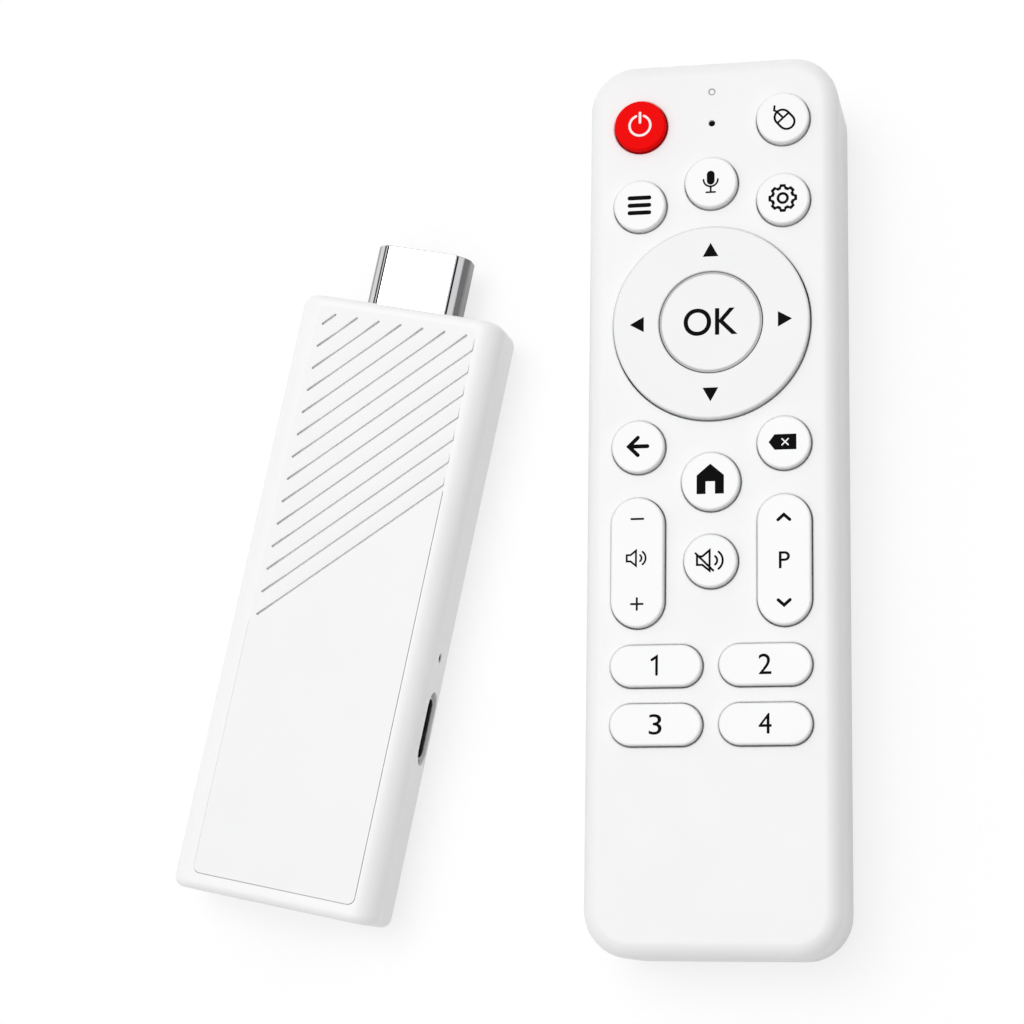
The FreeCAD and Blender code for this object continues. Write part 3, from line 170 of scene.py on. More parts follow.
def stacked(wide, tall, corner, levels, at, steps):
    """A solid through one rounded outline, inset by some amount at each level."""
    rings = []
    for inset, level in levels:
        outline = rounded(wide - 2 * inset, tall - 2 * inset, corner - inset, steps)
        rings.append([(x + at[0], y + at[1], level) for x, y in outline])
    return loft(rings)


def slab(wide, tall, corner, low, high, low_round=0.0, high_round=0.0, at=(0, 0), steps=8):
    """A plate with a rounded outline and eased edges."""
    return stacked(wide, tall, corner, eased(low, high, low_round, high_round), at, steps)


def flared(wide, tall, corner, low, high, at=(0, 0), steps=8, flare=MOUTH_FLARE):
    """A cutter that opens out a little where it leaves the surface at the level high."""
    levels = ((0, low), (0, high - flare), (-flare, high), (-flare, high + CLEAR))
    return stacked(wide, tall, corner, levels, at, steps)


def prism(corners, low, high):
    """A solid drawn up from a closed outline."""
    return loft([[(x, y, level) for x, y in corners] for level in (low, high)])


def block(low, high):
    """A plain block between two corners, for cutting."""
    (left, near, under), (right, far, over) = low, high
    return prism([(left, near), (right, near), (right, far), (left, far)], under, over)


def laid(form, x, y, z, at=(0, 0, 0)):
    """The form with its own axes laid along three directions, then moved to a place."""
    form.transform(Matrix.Translation(at) @ Matrix((x, y, z)).transposed().to_4x4())
    return form


def together(*forms):
    """Several forms as one."""
    whole = bmesh.new()
    for form in forms:
        mesh = bpy.data.meshes.new("join")
        form.to_mesh(mesh)
        whole.from_mesh(mesh)
        bpy.data.meshes.remove(mesh)
        form.free()
    return whole


def linked(name, data):
    """A new object in the scene."""
    shape = bpy.data.objects.new(name, data)
    bpy.context.scene.collection.objects.link(shape)
    return shape


def solved(shape):
    """The form of an object once its modifiers or its curve are worked out."""
    bpy.context.view_layer.update()
    ready = shape.evaluated_get(bpy.context.evaluated_depsgraph_get())
    form = bmesh.new()
    form.from_mesh(bpy.data.meshes.new_from_object(ready))
    return form


def holder(form):
    """A throwaway object that carries a form through a modifier."""
    mesh = bpy.data.meshes.new("holder")
    bmesh.ops.recalc_face_normals(form, faces=form.faces)
    form.to_mesh(mesh)
    form.free()
    return linked("holder", mesh)


def carve(form, cutter, operation="DIFFERENCE"):
    """The form without the cutter, or only what both share, or both as one."""
    base, tool = holder(form), holder(cutter)
    change = base.modifiers.new("carve", "BOOLEAN")
    change.operation = operation
    change.solver = "EXACT"
    change.object = tool
    result = cleaned(solved(base))
    for shape in (base, tool):
        bpy.data.objects.remove(shape)
    return result


def merged(forms):
    """Overlapping forms as one solid."""
    whole = forms[0]
    for form in forms[1:]:
        whole = carve(whole, form, "UNION")
    return whole


def add(name, form, place, body, material, replaces=(), sharp=34):
    """One finished piece: a form set in its place, on its body, in its material."""
    mesh = bpy.data.meshes.new(name)
    bmesh.ops.recalc_face_normals(form, faces=form.faces)
    form.transform(Matrix.Scale(MM, 4))
    form.to_mesh(mesh)
    form.free()
    mesh.materials.append(material)
    mesh.shade_smooth()
    mesh.set_sharp_from_angle(angle=math.radians(sharp))
    shape = linked(name, mesh)
    shape.matrix_world = place
    weights = shape.modifiers.new("even_shading", "WEIGHTED_NORMAL")
    weights.keep_sharp = True
    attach(shape, body)
    if replaces:
        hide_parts(*replaces)
    return shape


# Materials


def blank(name):
    """A new node material with its tree and its main shader."""
    material = bpy.data.materials.new(name)
    material.use_nodes = True
    tree = material.node_tree
    return material, tree, tree.nodes["Principled BSDF"]


def colour(screen):
    """A screen colour as the shader's own colour."""
    return tuple(c / 12.92 if c <= 0.04045 else ((c + 0.055) / 1.055) ** 2.4 for c in screen) + (1,)


def grey(level):
    """A plain grey from a screen value between 0 and 1, as the shader's own colour."""
    return colour((level, level, level))


def fill(tree, node, values):
    """Sets a node's sockets to plain values, or links them to other nodes."""
    for name, value in values.items():
        if isinstance(value, bpy.types.NodeSocket):
            tree.links.new(value, node.inputs[name])
        else:
            node.inputs[name].default_value = value
    return node


def new_node(tree, kind, values, **settings):
    """A new node with its own settings and with filled sockets."""
    node = tree.nodes.new(kind)
    for name, setting in settings.items():
        setattr(node, name, setting)
    return fill(tree, node, values)


def calculated(tree, operation, *values):
    """The result of one sum on node values or plain numbers."""
    sockets = dict(enumerate(values))
    return new_node(tree, "ShaderNodeMath", sockets, operation=operation).outputs["Value"]


def own_place(tree, kind="Object"):
    """The point's own coordinates on its object, or its direction in the world."""
    return tree.nodes.new("ShaderNodeTexCoord").outputs[kind]


def coordinate(tree, axis, kind="Object"):
    """One of the point's own coordinates."""
    split = new_node(tree, "ShaderNodeSeparateXYZ", {"Vector": own_place(tree, kind)})
    return split.outputs[axis]


def outward(tree, axis):
    """How far the point lies from the object's middle along an axis, in metres."""
    return calculated(tree, "ABSOLUTE", coordinate(tree, axis))


def noise(tree, scale, detail=2.0, stretch=(1, 1, 1)):
    """Noise in the object's own coordinates, scale in features per metre."""
    mapping = new_node(tree, "ShaderNodeMapping", {"Scale": stretch, "Vector": own_place(tree)})
    values = {"Scale": scale, "Detail": detail, "Vector": mapping.outputs["Vector"]}
    return new_node(tree, "ShaderNodeTexNoise", values).outputs["Fac"]


def spread(tree, value, low, high, start=0.0, end=1.0):
    """A value between start and end stretched to a new range."""
    values = {"Value": value, "From Min": start, "From Max": end, "To Min": low, "To Max": high}
    return new_node(tree, "ShaderNodeMapRange", values).outputs["Result"]


def between(tree, value, first, second):
    """A colour that runs between two others, each plain or from a node."""
    values = {"Factor": value, "A": first, "B": second}
    return new_node(tree, "ShaderNodeMix", values, data_type="RGBA").outputs["Result"]


def grain(tree, shader, height, strength, distance):
    """Fine relief in the surface."""
    values = {"Height": height, "Strength": strength, "Distance": distance}
    bump = new_node(tree, "ShaderNodeBump", values)
    tree.links.new(bump.outputs["Normal"], shader.inputs["Normal"])


def plastic(
    name, tone, rough=0.42, texture=2600.0, relief=0.000012, cloudy=0.012, soft=0.0, shine=0.5
):
    """Moulded plastic: nearly even colour, a fine spark-worn grain and a slightly uneven gloss."""
    material, tree, shader = blank(name)
    dark = tuple(max(c - cloudy, 0) for c in tone)
    values = {"Specular IOR Level": shine, "Subsurface Weight": soft}
    values |= {"Subsurface Radius": (1, 1, 1), "Subsurface Scale": 0.0006}
    values["Base Color"] = between(tree, noise(tree, 55.0), colour(dark), colour(tone))
    values["Roughness"] = spread(tree, noise(tree, 160.0), rough - 0.05, rough + 0.05)
    fill(tree, shader, values)
    grain(tree, shader, noise(tree, texture, 3.0), 0.35, relief)
    return material


def rubber(name, tone, rough=0.7):
    """Matt rubber or print with a soft uneven surface."""
    return plastic(name, tone, rough, 1800.0, 0.00002, 0.02, shine=0.1)


def metal(name, tone, rough=0.12, brushed=(1, 1, 1), relief=0.000004, sides=None):
    """Plated metal with faint rolling marks, painted darker out past the distance called sides:
    painted shade for dim side reflections.
    """
    material, tree, shader = blank(name)
    dark = tuple(c * 0.94 for c in tone)
    tint = between(tree, noise(tree, 300.0, 2.0, brushed), colour(dark), colour(tone))
    # Painted shade: past the given distance out from the middle the colour turns plain grey,
    # standing in for the dim reflections there.
    if sides:
        out = calculated(tree, "GREATER_THAN", outward(tree, "X"), sides * MM)
        tint = between(tree, out, tint, grey(0.5))
    gloss = spread(tree, noise(tree, 420.0, 2.0, brushed), rough * 0.7, rough * 1.3)
    fill(tree, shader, {"Metallic": 1.0, "Base Color": tint, "Roughness": gloss})
    grain(tree, shader, noise(tree, 1500.0, 2.0, brushed), 0.2, relief)
    return material


def board():
    """Green circuit board: solder mask over faint copper tracks."""
    material, tree, shader = blank("board_green")
    greens = ((0.04, 0.30, 0.17), (0.05, 0.34, 0.20), (0.16, 0.48, 0.28))
    values = dict(zip(("Color1", "Color2", "Mortar"), map(colour, greens)))
    values |= {"Scale": 900.0, "Mortar Size": 0.06, "Vector": own_place(tree)}
    tracks = new_node(tree, "ShaderNodeTexBrick", values)
    fill(tree, shader, {"Base Color": tracks.outputs["Color"], "Roughness": 0.32})
    grain(tree, shader, tracks.outputs["Fac"], 0.3, 0.00002)
    return material


def sleeve(copper_from=9.2, bare_from=21.3):
    """A battery's plain sleeve: black with a copper end, and bare steel at both tips."""
    material, tree, shader = blank("cell_sleeve")
    tip = calculated(tree, "GREATER_THAN", outward(tree, "Z"), bare_from * MM)
    copper = calculated(tree, "GREATER_THAN", coordinate(tree, "Z"), copper_from * MM)
    wrap = between(tree, copper, colour((0.1, 0.1, 0.11)), colour((0.75, 0.45, 0.27)))
    gloss = spread(tree, noise(tree, 200.0), 0.25, 0.35)
    tint = between(tree, tip, wrap, grey(0.8))
    fill(tree, shader, {"Base Color": tint, "Metallic": tip, "Roughness": gloss})
    grain(tree, shader, noise(tree, 900.0), 0.15, 0.000008)
    return material


WHITE = plastic("white_plastic", (0.945, 0.945, 0.946))
REMOTE_WHITE = plastic("remote_plastic", (0.93, 0.93, 0.932), 0.45)
PANEL_WHITE = plastic("panel_plastic", (0.935, 0.936, 0.936), 0.5, 3600.0, 0.00001)
KEY_WHITE = plastic("key_plastic", (0.943, 0.943, 0.945), 0.4, 2600.0, 0.000006)
PAD_WHITE = plastic("pad_plastic", (0.915, 0.915, 0.917), 0.4, 2600.0, 0.000006)
KEY_RED = plastic("red_key_plastic", (0.93, 0.002, 0.004), 0.5, 2600.0, 0.000005, shine=0.04)
BLACK_PRINT = rubber("black_print", (0.02, 0.02, 0.022))
WHITE_PRINT = rubber("white_print", (0.97, 0.93, 0.93))
SILICONE = rubber("grey_silicone", (0.34, 0.34, 0.35), 0.6)
# Painted shade: a plain grey for rings laid in gaps where there is only shadow.
GAP_SHADE_GREY = rubber("gap_shade_grey", (0.72, 0.72, 0.725), 0.6)
SOCKET_BLACK = plastic("socket_black", (0.05, 0.05, 0.055), 0.4)
LIGHT_PIPE = plastic("light_pipe", (0.95, 0.95, 0.955), 0.25, soft=0.3)
LENS = plastic("infrared_lens", (0.06, 0.045, 0.07), 0.12, 900.0, 0.000002)
SLEEVE = sleeve()

FINISHES = dict(
    stick_white=WHITE,
    panel_grey_white=PANEL_WHITE,
    plated_steel=metal("socket_steel", (0.72, 0.72, 0.73), 0.25),
    contact_gold=metal("contact_gold", (0.93, 0.77, 0.43), 0.22),
    black_plastic=SOCKET_BLACK,
    socket_grey=plastic("socket_grey", (0.62, 0.62, 0.64), 0.4),
    board_green=board(),
    spreader_aluminium=metal("spreader_aluminium", (0.8, 0.8, 0.81), 0.35, (0.1, 1, 1), 0.00001),
    thermal_grey=rubber("thermal_grey", (0.55, 0.56, 0.6), 0.8),
    antenna_ceramic=plastic("antenna_ceramic", (0.9, 0.89, 0.85), 0.5),
    remote_white=REMOTE_WHITE,
    key_white=KEY_WHITE,
    cell_sleeve=SLEEVE,
    light_pipe=LIGHT_PIPE,
    infrared_lens=LENS,
    mat_silicone=SILICONE,
)

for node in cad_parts.values():
    for held in node.material_slots:
        for name, finish in FINISHES.items():
            if held.material and held.material.name.startswith(name):
                held.material = finish

# The stick

housing, cover = Span("stick_housing", STICK), Span("stick_back_cover", STICK)
panel, plug = Span("stick_front_panel", STICK), Span("plug_shell", STICK)
usb, port = Span("usb_socket_shell", STICK), Span("power_socket_shell", STICK)
pin = Span("reset_plunger", STICK)
BODY = Vector((housing.size.x, housing.size.y, housing.high.z - cover.low.z))
BACK_EDGE, FRONT_EDGE, END_ROUND, PLAN_ROUND = 4.2, 3.25, 1.1, 1.5
SEAM, COVER_TOP = 0.07, 1.6
SIDE_WALL, END_WALL, INNER_CORNER, PANEL_SEAT = 2.1, 1.8, 1.5, 1.3
PANEL_GAP, PANEL_CORNER, GAP_DEEP = 0.1, 1.0, 0.5
PORT_WIDE, PORT_TALL, RESET_HOLE, SIDE_DEEP = 10.3, 4.3, 1.3, 3
PLUG_ROOM, USB_ROOM, USB_CORNER, END_DEEP = 0.4, 0.5, 0.8, 4
VENTS, VENT_LONG, VENT_WIDE, VENT_PITCH, VENT_FIRST = 6, 13.0, 1.3, 3.2, 8.0
LOUVRES, LOUVRE_FIRST, LOUVRE_PITCH, LOUVRE_DEEP = 14, 4.0, 3.25, 0.24
FAR = BODY.y
RIGHT = ((0, 1, 0), (0, 0, 1), (1, 0, 0))  # lays a form's own z along the item's x
AHEAD = ((1, 0, 0), (0, 0, 1), (0, 1, 0))  # lays a form's own z along the item's y


def stick_section(inset, sides):
    """The stick's section across its length: rounder at the back than at the front."""
    back, front = (max(r - inset, 0.05) for r in (BACK_EDGE, FRONT_EDGE))
    outline = rounded(BODY.x - 2 * sides, BODY.z - 2 * inset, (front, front, back, back), 10)
    return [(x, z + BODY.z / 2) for x, z in outline]


def stick_form():
    """The whole stick with its four long edges and both ends rounded."""
    end = BODY.y / 2
    rings = []
    for sides, level in eased(-end, end, PLAN_ROUND, PLAN_ROUND, 12):
        past = max(abs(level) - end + END_ROUND, 0)
        inset = END_ROUND - math.sqrt(max(END_ROUND**2 - past**2, 0))
        rings.append([(x, level, z) for x, z in stick_section(inset, sides)])
    return loft(rings)


def side_hole(wide, tall, at):
    """A cutter into the stick's right side, round at its ends and flared at its mouth."""
    side = BODY.x / 2
    form = flared(wide, tall, tall / 2, side - SIDE_DEEP, side, steps=10)
    return laid(form, *RIGHT, (0, at.y, at.z))


def end_hole(socket, slack, corner, way):
    """A cutter into one of the stick's ends, around the socket or plug there."""
    end = BODY.y / 2
    wide, tall = socket.size.x + slack, socket.size.z + slack
    form = flared(wide, tall, corner, end - END_DEEP, end, steps=6)
    return laid(form, (way, 0, 0), (0, 0, 1), (0, way, 0), (0, 0, socket.middle.z))


def panel_plate(high):
    """The panel's outline, from its back up to a level."""
    wide, tall, middle = panel.size.x, panel.size.y, (0, panel.middle.y)
    return slab(wide, tall, PANEL_CORNER, panel.low.z, high, at=middle)


def panel_seams():
    """Cutters for the fine gap around the plain part of the panel, finer at its left."""
    low, high = panel.high.z - GAP_DEEP, BODY.z + CLEAR
    louvred = LOUVRE_FIRST + LOUVRE_PITCH * (LOUVRES - 1)
    tall = panel.size.y - louvred + panel.size.x + PANEL_GAP
    wide, corner = panel.size.x + PANEL_GAP, PANEL_CORNER + PANEL_GAP / 2
    middle = (PANEL_GAP / 2, panel.low.y + tall / 2 - PANEL_GAP)
    right = slab(wide, tall, corner, low, high, at=middle)
    run = panel.size.y - louvred - PANEL_CORNER
    middle = (panel.low.x, panel.low.y + PANEL_CORNER + run / 2)
    return right, slab(PANEL_GAP / 2, run, PANEL_GAP / 4, low, high, at=middle)


def build_housing():
    """The front shell of the stick with every opening in it."""
    form = carve(stick_form(), block((-FAR, -FAR, -5), (FAR, FAR, COVER_TOP + SEAM)))
    wide, long = BODY.x - 2 * SIDE_WALL, BODY.y - 2 * END_WALL
    hollow = slab(wide, long, INNER_CORNER, COVER_TOP - CLEAR, panel.low.z - PANEL_SEAT)
    form = carve(form, together(hollow, panel_plate(BODY.z + CLEAR)))
    for seam in panel_seams():
        form = carve(form, seam)
    holes = together(
        side_hole(PORT_WIDE, PORT_TALL, port.middle),
        side_hole(RESET_HOLE, RESET_HOLE, pin.middle),
        end_hole(plug, PLUG_ROOM, PLUG_ROOM, 1),
        end_hole(usb, USB_ROOM, USB_CORNER, -1),
    )
    return carve(form, holes)


def build_back_cover():
    """The shallow back cover with its vent slots."""
    form = carve(stick_form(), block((-FAR, -FAR, COVER_TOP - SEAM), (FAR, FAR, 40)))
    vents = []
    for slot in range(VENTS):
        y = VENT_FIRST + VENT_PITCH * slot
        low, high = (-VENT_LONG / 2, y - VENT_WIDE / 2, -3), (VENT_LONG / 2, y + VENT_WIDE / 2, 4)
        vents.append(block(low, high))
    return carve(form, together(*vents))


def build_hole_liner():
    """A black tube in the reset hole: painted shade standing in for the shadow inside the hole."""
    radius, side, deep, thick = RESET_HOLE / 2, BODY.x / 2, 2, 0.14
    profile = [(radius, side - deep), (radius, side - 0.22), (radius - 0.12, side - 0.2)]
    profile.append((radius - thick, side - deep))
    return laid(lathe(profile, 32), *RIGHT, (0, pin.middle.y, pin.middle.z))


add("stick_shell", build_housing(), STICK, "stick", WHITE, ["stick_housing"])
add("stick_back", build_back_cover(), STICK, "stick", WHITE, ["stick_back_cover"])
# Painted shade: a black tube inside the reset hole, for the shadow within it.
add("reset_hole_shade", build_hole_liner(), STICK, "stick", SOCKET_BLACK, [])

# The louvred panel

LINE_WIDE, LINE_DEEP, LINE_IN, LINE_DOWN = 0.34, 0.42, 1.0, 1.2
TICK_LONG, TICK_WIDE, TICK_DEEP, TICK_RISE = 1.7, 0.2, 0.6, 0.55
FIELD_LEFT, FIELD_RIGHT, FIELD_DOWN, FADE = 1.8, 2.4, 1.6, 9.0
SLOPE_START, BARELY = 0.8, 0.02  # barely: a step too small to see
DIAGONAL = math.sqrt(0.5)


def louvre_feet():
    """How far each louvre's foot lies from the panel's upper left corner, square to the lines."""
    return [(LOUVRE_FIRST + LOUVRE_PITCH * i) * DIAGONAL for i in range(LOUVRES)]


def onto_panel(form):
    """Turns a form drawn from the panel's corner, square to the lines, onto the panel."""
    corner = (panel.low.x, panel.high.y, panel.high.z)
    return laid(form, (DIAGONAL, -DIAGONAL, 0), (DIAGONAL, DIAGONAL, 0), (0, 0, 1), corner)


def louvre_slopes():
    """A cutter with a saw-tooth underside that leaves the sloping bands."""
    teeth = [(SLOPE_START, CLEAR), (SLOPE_START, BARELY)]
    for foot in louvre_feet():
        teeth += [(foot, -LOUVRE_DEEP), (foot, BARELY)]
    teeth[-1] = (foot, CLEAR)
    teeth.reverse()
    form = onto_panel(loft([[(x, run, z) for x, z in teeth] for run in (-80, 80)]))
    wide = panel.size.x - FIELD_LEFT + FIELD_RIGHT
    middle = ((FIELD_LEFT + FIELD_RIGHT) / 2, panel.middle.y - FIELD_DOWN)
    field = slab(wide, panel.size.y, 0.2, panel.low.z, panel.high.z + 2, at=middle)
    for vertex in field.verts:
        fade = (vertex.co.z - panel.high.z) * FADE
        if vertex.co.x < 0:
            vertex.co.x -= fade
        if vertex.co.y > panel.middle.y:
            vertex.co.y += fade
    return carve(form, field, "INTERSECT")


def louvre_line(foot):
    """The fine dark line at the foot of one band, with round ends."""
    run = foot / DIAGONAL
    end = min(run - LINE_DOWN, panel.size.x + CLEAR)
    across = (LINE_IN + end) / 2
    along = (across - (run - across)) * DIAGONAL
    long, low = (end - LINE_IN) / DIAGONAL, -LOUVRE_DEEP - LINE_DEEP
    cut = slab(LINE_WIDE, long, LINE_WIDE / 2, low, CLEAR, steps=4)
    cut.transform(Matrix.Translation((foot - LINE_WIDE / 2, along, 0)))
    return onto_panel(cut)


def tick(low):
    """A short seam up the panel's edge from a line's end, shallower towards its top."""
    floor_level, high = panel.high.z - TICK_DEEP, panel.high.z + CLEAR
    middle = (panel.high.x - TICK_WIDE / 2, low + TICK_LONG / 2)
    cut = slab(TICK_WIDE, TICK_LONG, TICK_WIDE / 2, floor_level, high, at=middle, steps=3)
    for vertex in cut.verts:
        if vertex.co.z < panel.high.z:
            vertex.co.z += TICK_RISE * (vertex.co.y - low) / TICK_LONG
    return cut


def build_panel():
    """The inset front panel: flat below, saw-tooth louvres above."""
    form = carve(panel_plate(BODY.z), louvre_slopes())
    for foot in louvre_feet():
        form = carve(form, louvre_line(foot))
        run = foot / DIAGONAL
        if run > panel.size.x:
            form = carve(form, tick(panel.high.y - run + panel.size.x))
    return form


add(
    "louvred_panel", build_panel(), STICK, "stick", PANEL_WHITE,
    ["stick_front_panel"], sharp=8,
)

# The television plug

PLUG_FLAT, PLUG_BEVEL, PLUG_WALL, PLUG_BULGE, PLUG_MOUTH = 10.5, 1.8, 0.3, 0.2, 0.15
BACK_BEND, BEVEL_BEND, FOLD_BEND = 0.6, 0.45, 0.2
MITRE = math.tan(math.radians(22.5))


def plug_section(inset):
    """The plug's outline: square at the back, with folded bevels towards the front."""
    half, low, high = plug.size.x / 2 - inset, plug.low.z + inset, plug.high.z - inset
    flat = PLUG_FLAT / 2 - inset * MITRE
    bevel = high + inset - PLUG_BEVEL - inset * MITRE
    out, up = half - flat, high - bevel
    bulge = PLUG_BULGE / math.hypot(out, up)
    fold = ((half + flat) / 2 + bulge * up, (high + bevel) / 2 + bulge * out)
    corners = [(-half, low), (half, low), (half, bevel), fold, (flat, high)]
    corners += [(-flat, high), (-fold[0], fold[1]), (-half, bevel)]
    side = [BEVEL_BEND, FOLD_BEND, BEVEL_BEND]
    return smooth_corners(corners, [BACK_BEND, BACK_BEND] + side + side)


def build_plug():
    """The plug's folded metal shell, rolled at its mouth."""
    rings = []
    for inset, level in eased(plug.low.y, plug.high.y, 0, PLUG_MOUTH):
        rings.append([(x, level, z) for x, z in plug_section(inset)])
    bore = plug_section(PLUG_WALL)
    ends = (-50, plug.high.y + 5)
    return carve(loft(rings), loft([[(x, level, z) for x, z in bore] for level in ends]))


# The plug's sides past 6.25 mm out carry painted shade: a darker grey standing in for their dim
# reflections.
PLUG_STEEL_PAINTED_SIDES = metal("plug_steel_painted_side_shade", (0.86, 0.86, 0.87), 0.08, (1, 0.2, 1), sides=6.25)
add("television_plug", build_plug(), STICK, "stick", PLUG_STEEL_PAINTED_SIDES, ["plug_shell"])

# The remote

top, tub = Span("remote_top_cover", REMOTE), Span("remote_bottom_cover", REMOTE)
door, mat = Span("battery_cover", REMOTE), Span("keypad_mat", REMOTE)
ring, boot = Span("direction_ring", REMOTE), Span("direction_boot", REMOTE)
ok, pipe = Span("ok_key", REMOTE), Span("status_light", REMOTE)
led, sound = Span("infrared_led", REMOTE), Span("microphone", REMOTE)
cells = [Span("battery_left", REMOTE), Span("battery_right", REMOTE)]
WIDE, LONG, FACE = top.size.x, top.size.y, top.high.z
KEY_TOP = Span("power_key", REMOTE).high.z
PAD_AT, LIGHT_AT, SOUND_AT = (tuple(span.middle.xy) for span in (ring, pipe, sound))
CORNER, FRONT_ROUND, BACK_ROUND, WALL, SPLIT = 6.3, 2.2, 3.0, 1.6, 9.0
INSIDE = (WIDE - 2 * WALL, LONG - 2 * WALL, CORNER - WALL)
HOLE_DEEP, PIN_FLARE = 4, 0.05
LIGHT_WIDE, SOUND_WIDE, LED_HOLE, LED_WIDE, LED_RIM = 1.0, 0.9, 3.2, 3.0, 4.4

ROUND_KEYS = [n + "_key" for n in "power mouse voice menu settings back delete home mute".split()]
ROCKERS = ["volume_rocker", "channel_rocker"]
APP_KEYS = [f"app_key_{number}" for number in range(1, 5)]
CAPS = {name: (7.1, 7.1) for name in ROUND_KEYS} | {"home_key": (7.8, 7.8)}
CAPS |= {name: (7.1, 17.5) for name in ROCKERS} | {name: (12.2, 5.5) for name in APP_KEYS}
GAP, RIM, LUG_OUT, LUG_ROOM, ROCK_ROOM = 0.19, 0.28, 0.6, 0.06, 0.75
PAD_WIDE, PAD_GAP, PAD_WALL, PAD_THICK = 26.6, 0.2, 1.5, 1.5
OK_WIDE, OK_GAP, OK_INSET, OK_UNDER, OK_RIM = 13.5, 0.3, 0.04, 1.6, 0.2
OK_FLANGE, OK_GROOVE, GAP_SHADE_DOWN, GAP_SHADE_WIDE = 0.22, 0.85, 0.14, 0.24


def spot(name):
    """A key's place on the remote."""
    return tuple(Span(name, REMOTE).middle.xy)


def face_hole(wide, tall, at, steps=8, flare=MOUTH_FLARE):
    """A cutter through the remote's face, round at its ends."""
    return flared(wide, tall, min(wide, tall) / 2, FACE - HOLE_DEEP, FACE, at, steps, flare)


def led_hole():
    """A round cutter through the remote's front end for the infrared light."""
    end = LONG / 2
    form = slab(LED_HOLE, LED_HOLE, LED_HOLE / 2, end - HOLE_DEEP, end + 2)
    return laid(form, *AHEAD, (0, 0, led.middle.z))


def build_face():
    """The remote's face with a hole for every key."""
    form = slab(WIDE, LONG, CORNER, SPLIT + SEAM, FACE, 0.0, FRONT_ROUND, steps=12)
    form = carve(form, slab(*INSIDE, SPLIT - 2, FACE - WALL, 0.0, 1.0))
    across = PAD_WIDE + 2 * PAD_GAP
    holes = [face_hole(across, across, PAD_AT, 24)]
    for name, (wide, tall) in CAPS.items():
        holes.append(face_hole(wide + 2 * GAP, tall + 2 * GAP, spot(name), 12))
    holes.append(face_hole(LIGHT_WIDE, LIGHT_WIDE, LIGHT_AT, flare=PIN_FLARE))
    holes.append(face_hole(SOUND_WIDE, SOUND_WIDE, SOUND_AT, flare=PIN_FLARE))
    return carve(carve(form, together(*holes)), led_hole())


def add_key(name, material):
    """One key on its own body: a cap with a round rim on a lug that holds it behind the face."""
    (wide, tall), at, low = CAPS[name], spot(name), Span(name, REMOTE).low.z
    corner = min(wide, tall) / 2
    lug_top = FACE - WALL - (ROCK_ROOM if name in ROCKERS else LUG_ROOM)
    cap = slab(wide, tall, corner, lug_top - 0.05, KEY_TOP, 0.0, RIM, at, 14)
    wide, tall, corner = wide + 2 * LUG_OUT, tall + 2 * LUG_OUT, corner + LUG_OUT
    lug = slab(wide, tall, corner, low, lug_top, 0.1, 0.1, at, 10)
    add(name + "_cap", together(cap, lug), REMOTE, name, material, [name])


def build_ring():
    """The direction ring: a hollow cap that rocks on its boot."""
    outer, inner = PAD_WIDE / 2, OK_WIDE / 2 + OK_GAP + 0.03
    profile = [(outer, ring.low.z)]
    profile += arc(RIM, (outer - RIM, KEY_TOP - RIM), 0, 90, 6)
    profile += arc(OK_RIM, (inner + OK_RIM, KEY_TOP - OK_RIM), 90, 180, 4)
    under, wall = KEY_TOP - PAD_THICK, outer - PAD_WALL
    profile += [(inner, under), (wall, under), (wall, ring.low.z)]
    return lathe(profile, 128, PAD_AT)


def build_ok():
    """The round key in the middle of the ring, on a flange under the gap around it."""
    radius = OK_WIDE / 2 - OK_INSET
    stem, flange = radius - 1.5, radius + OK_FLANGE
    under, groove = KEY_TOP - OK_UNDER, KEY_TOP - OK_GROOVE
    profile = [(stem, ok.low.z), (stem, under), (flange, under), (flange, groove), (radius, groove)]
    profile += arc(OK_RIM, (radius - OK_RIM, KEY_TOP - OK_RIM), 0, 90, 6)
    return spun(profile, 96, PAD_AT)


def build_ok_seal():
    """A thin grey ring in the gap around the OK key: painted shade standing in for the shadow in
    that gap.
    """
    inner, outer = OK_WIDE / 2 - 0.06, OK_WIDE / 2 - OK_INSET + GAP_SHADE_WIDE
    low, high = KEY_TOP - OK_GROOVE - BARELY, KEY_TOP - GAP_SHADE_DOWN
    return lathe([(inner, low), (outer, low), (outer, high), (inner, high)], 96, PAD_AT)


add("remote_face", build_face(), REMOTE, "remote", REMOTE_WHITE, ["remote_top_cover"])
for name in CAPS:
    add_key(name, KEY_RED if name == "power_key" else KEY_WHITE)
add("ring_cap", build_ring(), REMOTE, "pad_ring", PAD_WHITE, ["direction_ring"])
add("ok_cap", build_ok(), REMOTE, "ok_key", PAD_WHITE, ["ok_key"])
# Painted shade: a grey ring in the gap around the OK key.
add("ok_gap_shade", build_ok_seal(), REMOTE, "ok_key", GAP_SHADE_GREY)

# The remote's back and its door

DOOR_WIDE, DOOR_THICK, DOOR_GAP = 25.0, 1.4, 0.15
BAY_SIDE, BAY_WALL, BAY_ROOF, BAY_FROM_END, BAY_TO_END = 0.3, 1.4, 0.9, 3.3, 0.2
BAY_LOW = (cells[0].low.x - BAY_SIDE, door.low.y + BAY_FROM_END)
BAY_HIGH = (cells[1].high.x + BAY_SIDE, door.high.y - BAY_TO_END)
GRIPS, GRIP_WIDE, GRIP_PITCH, GRIP_DOWN, GRIP_CUT = 6, 11.0, 1.7, 18.7, 0.4


def back_form():
    """The outer form of the remote's lower half."""
    return slab(WIDE, LONG, CORNER, 0, SPLIT - SEAM, BACK_ROUND, 0.0, steps=12)


def door_room(gap):
    """The space that the door takes in the remote's back, with a gap around it."""
    half = DOOR_WIDE / 2 + gap
    plate = block((-half, -LONG, -1), (half, door.high.y + gap, DOOR_THICK))
    return plate, block((-half, -LONG, -2), (half, WALL - LONG / 2 + gap, SPLIT + 2))


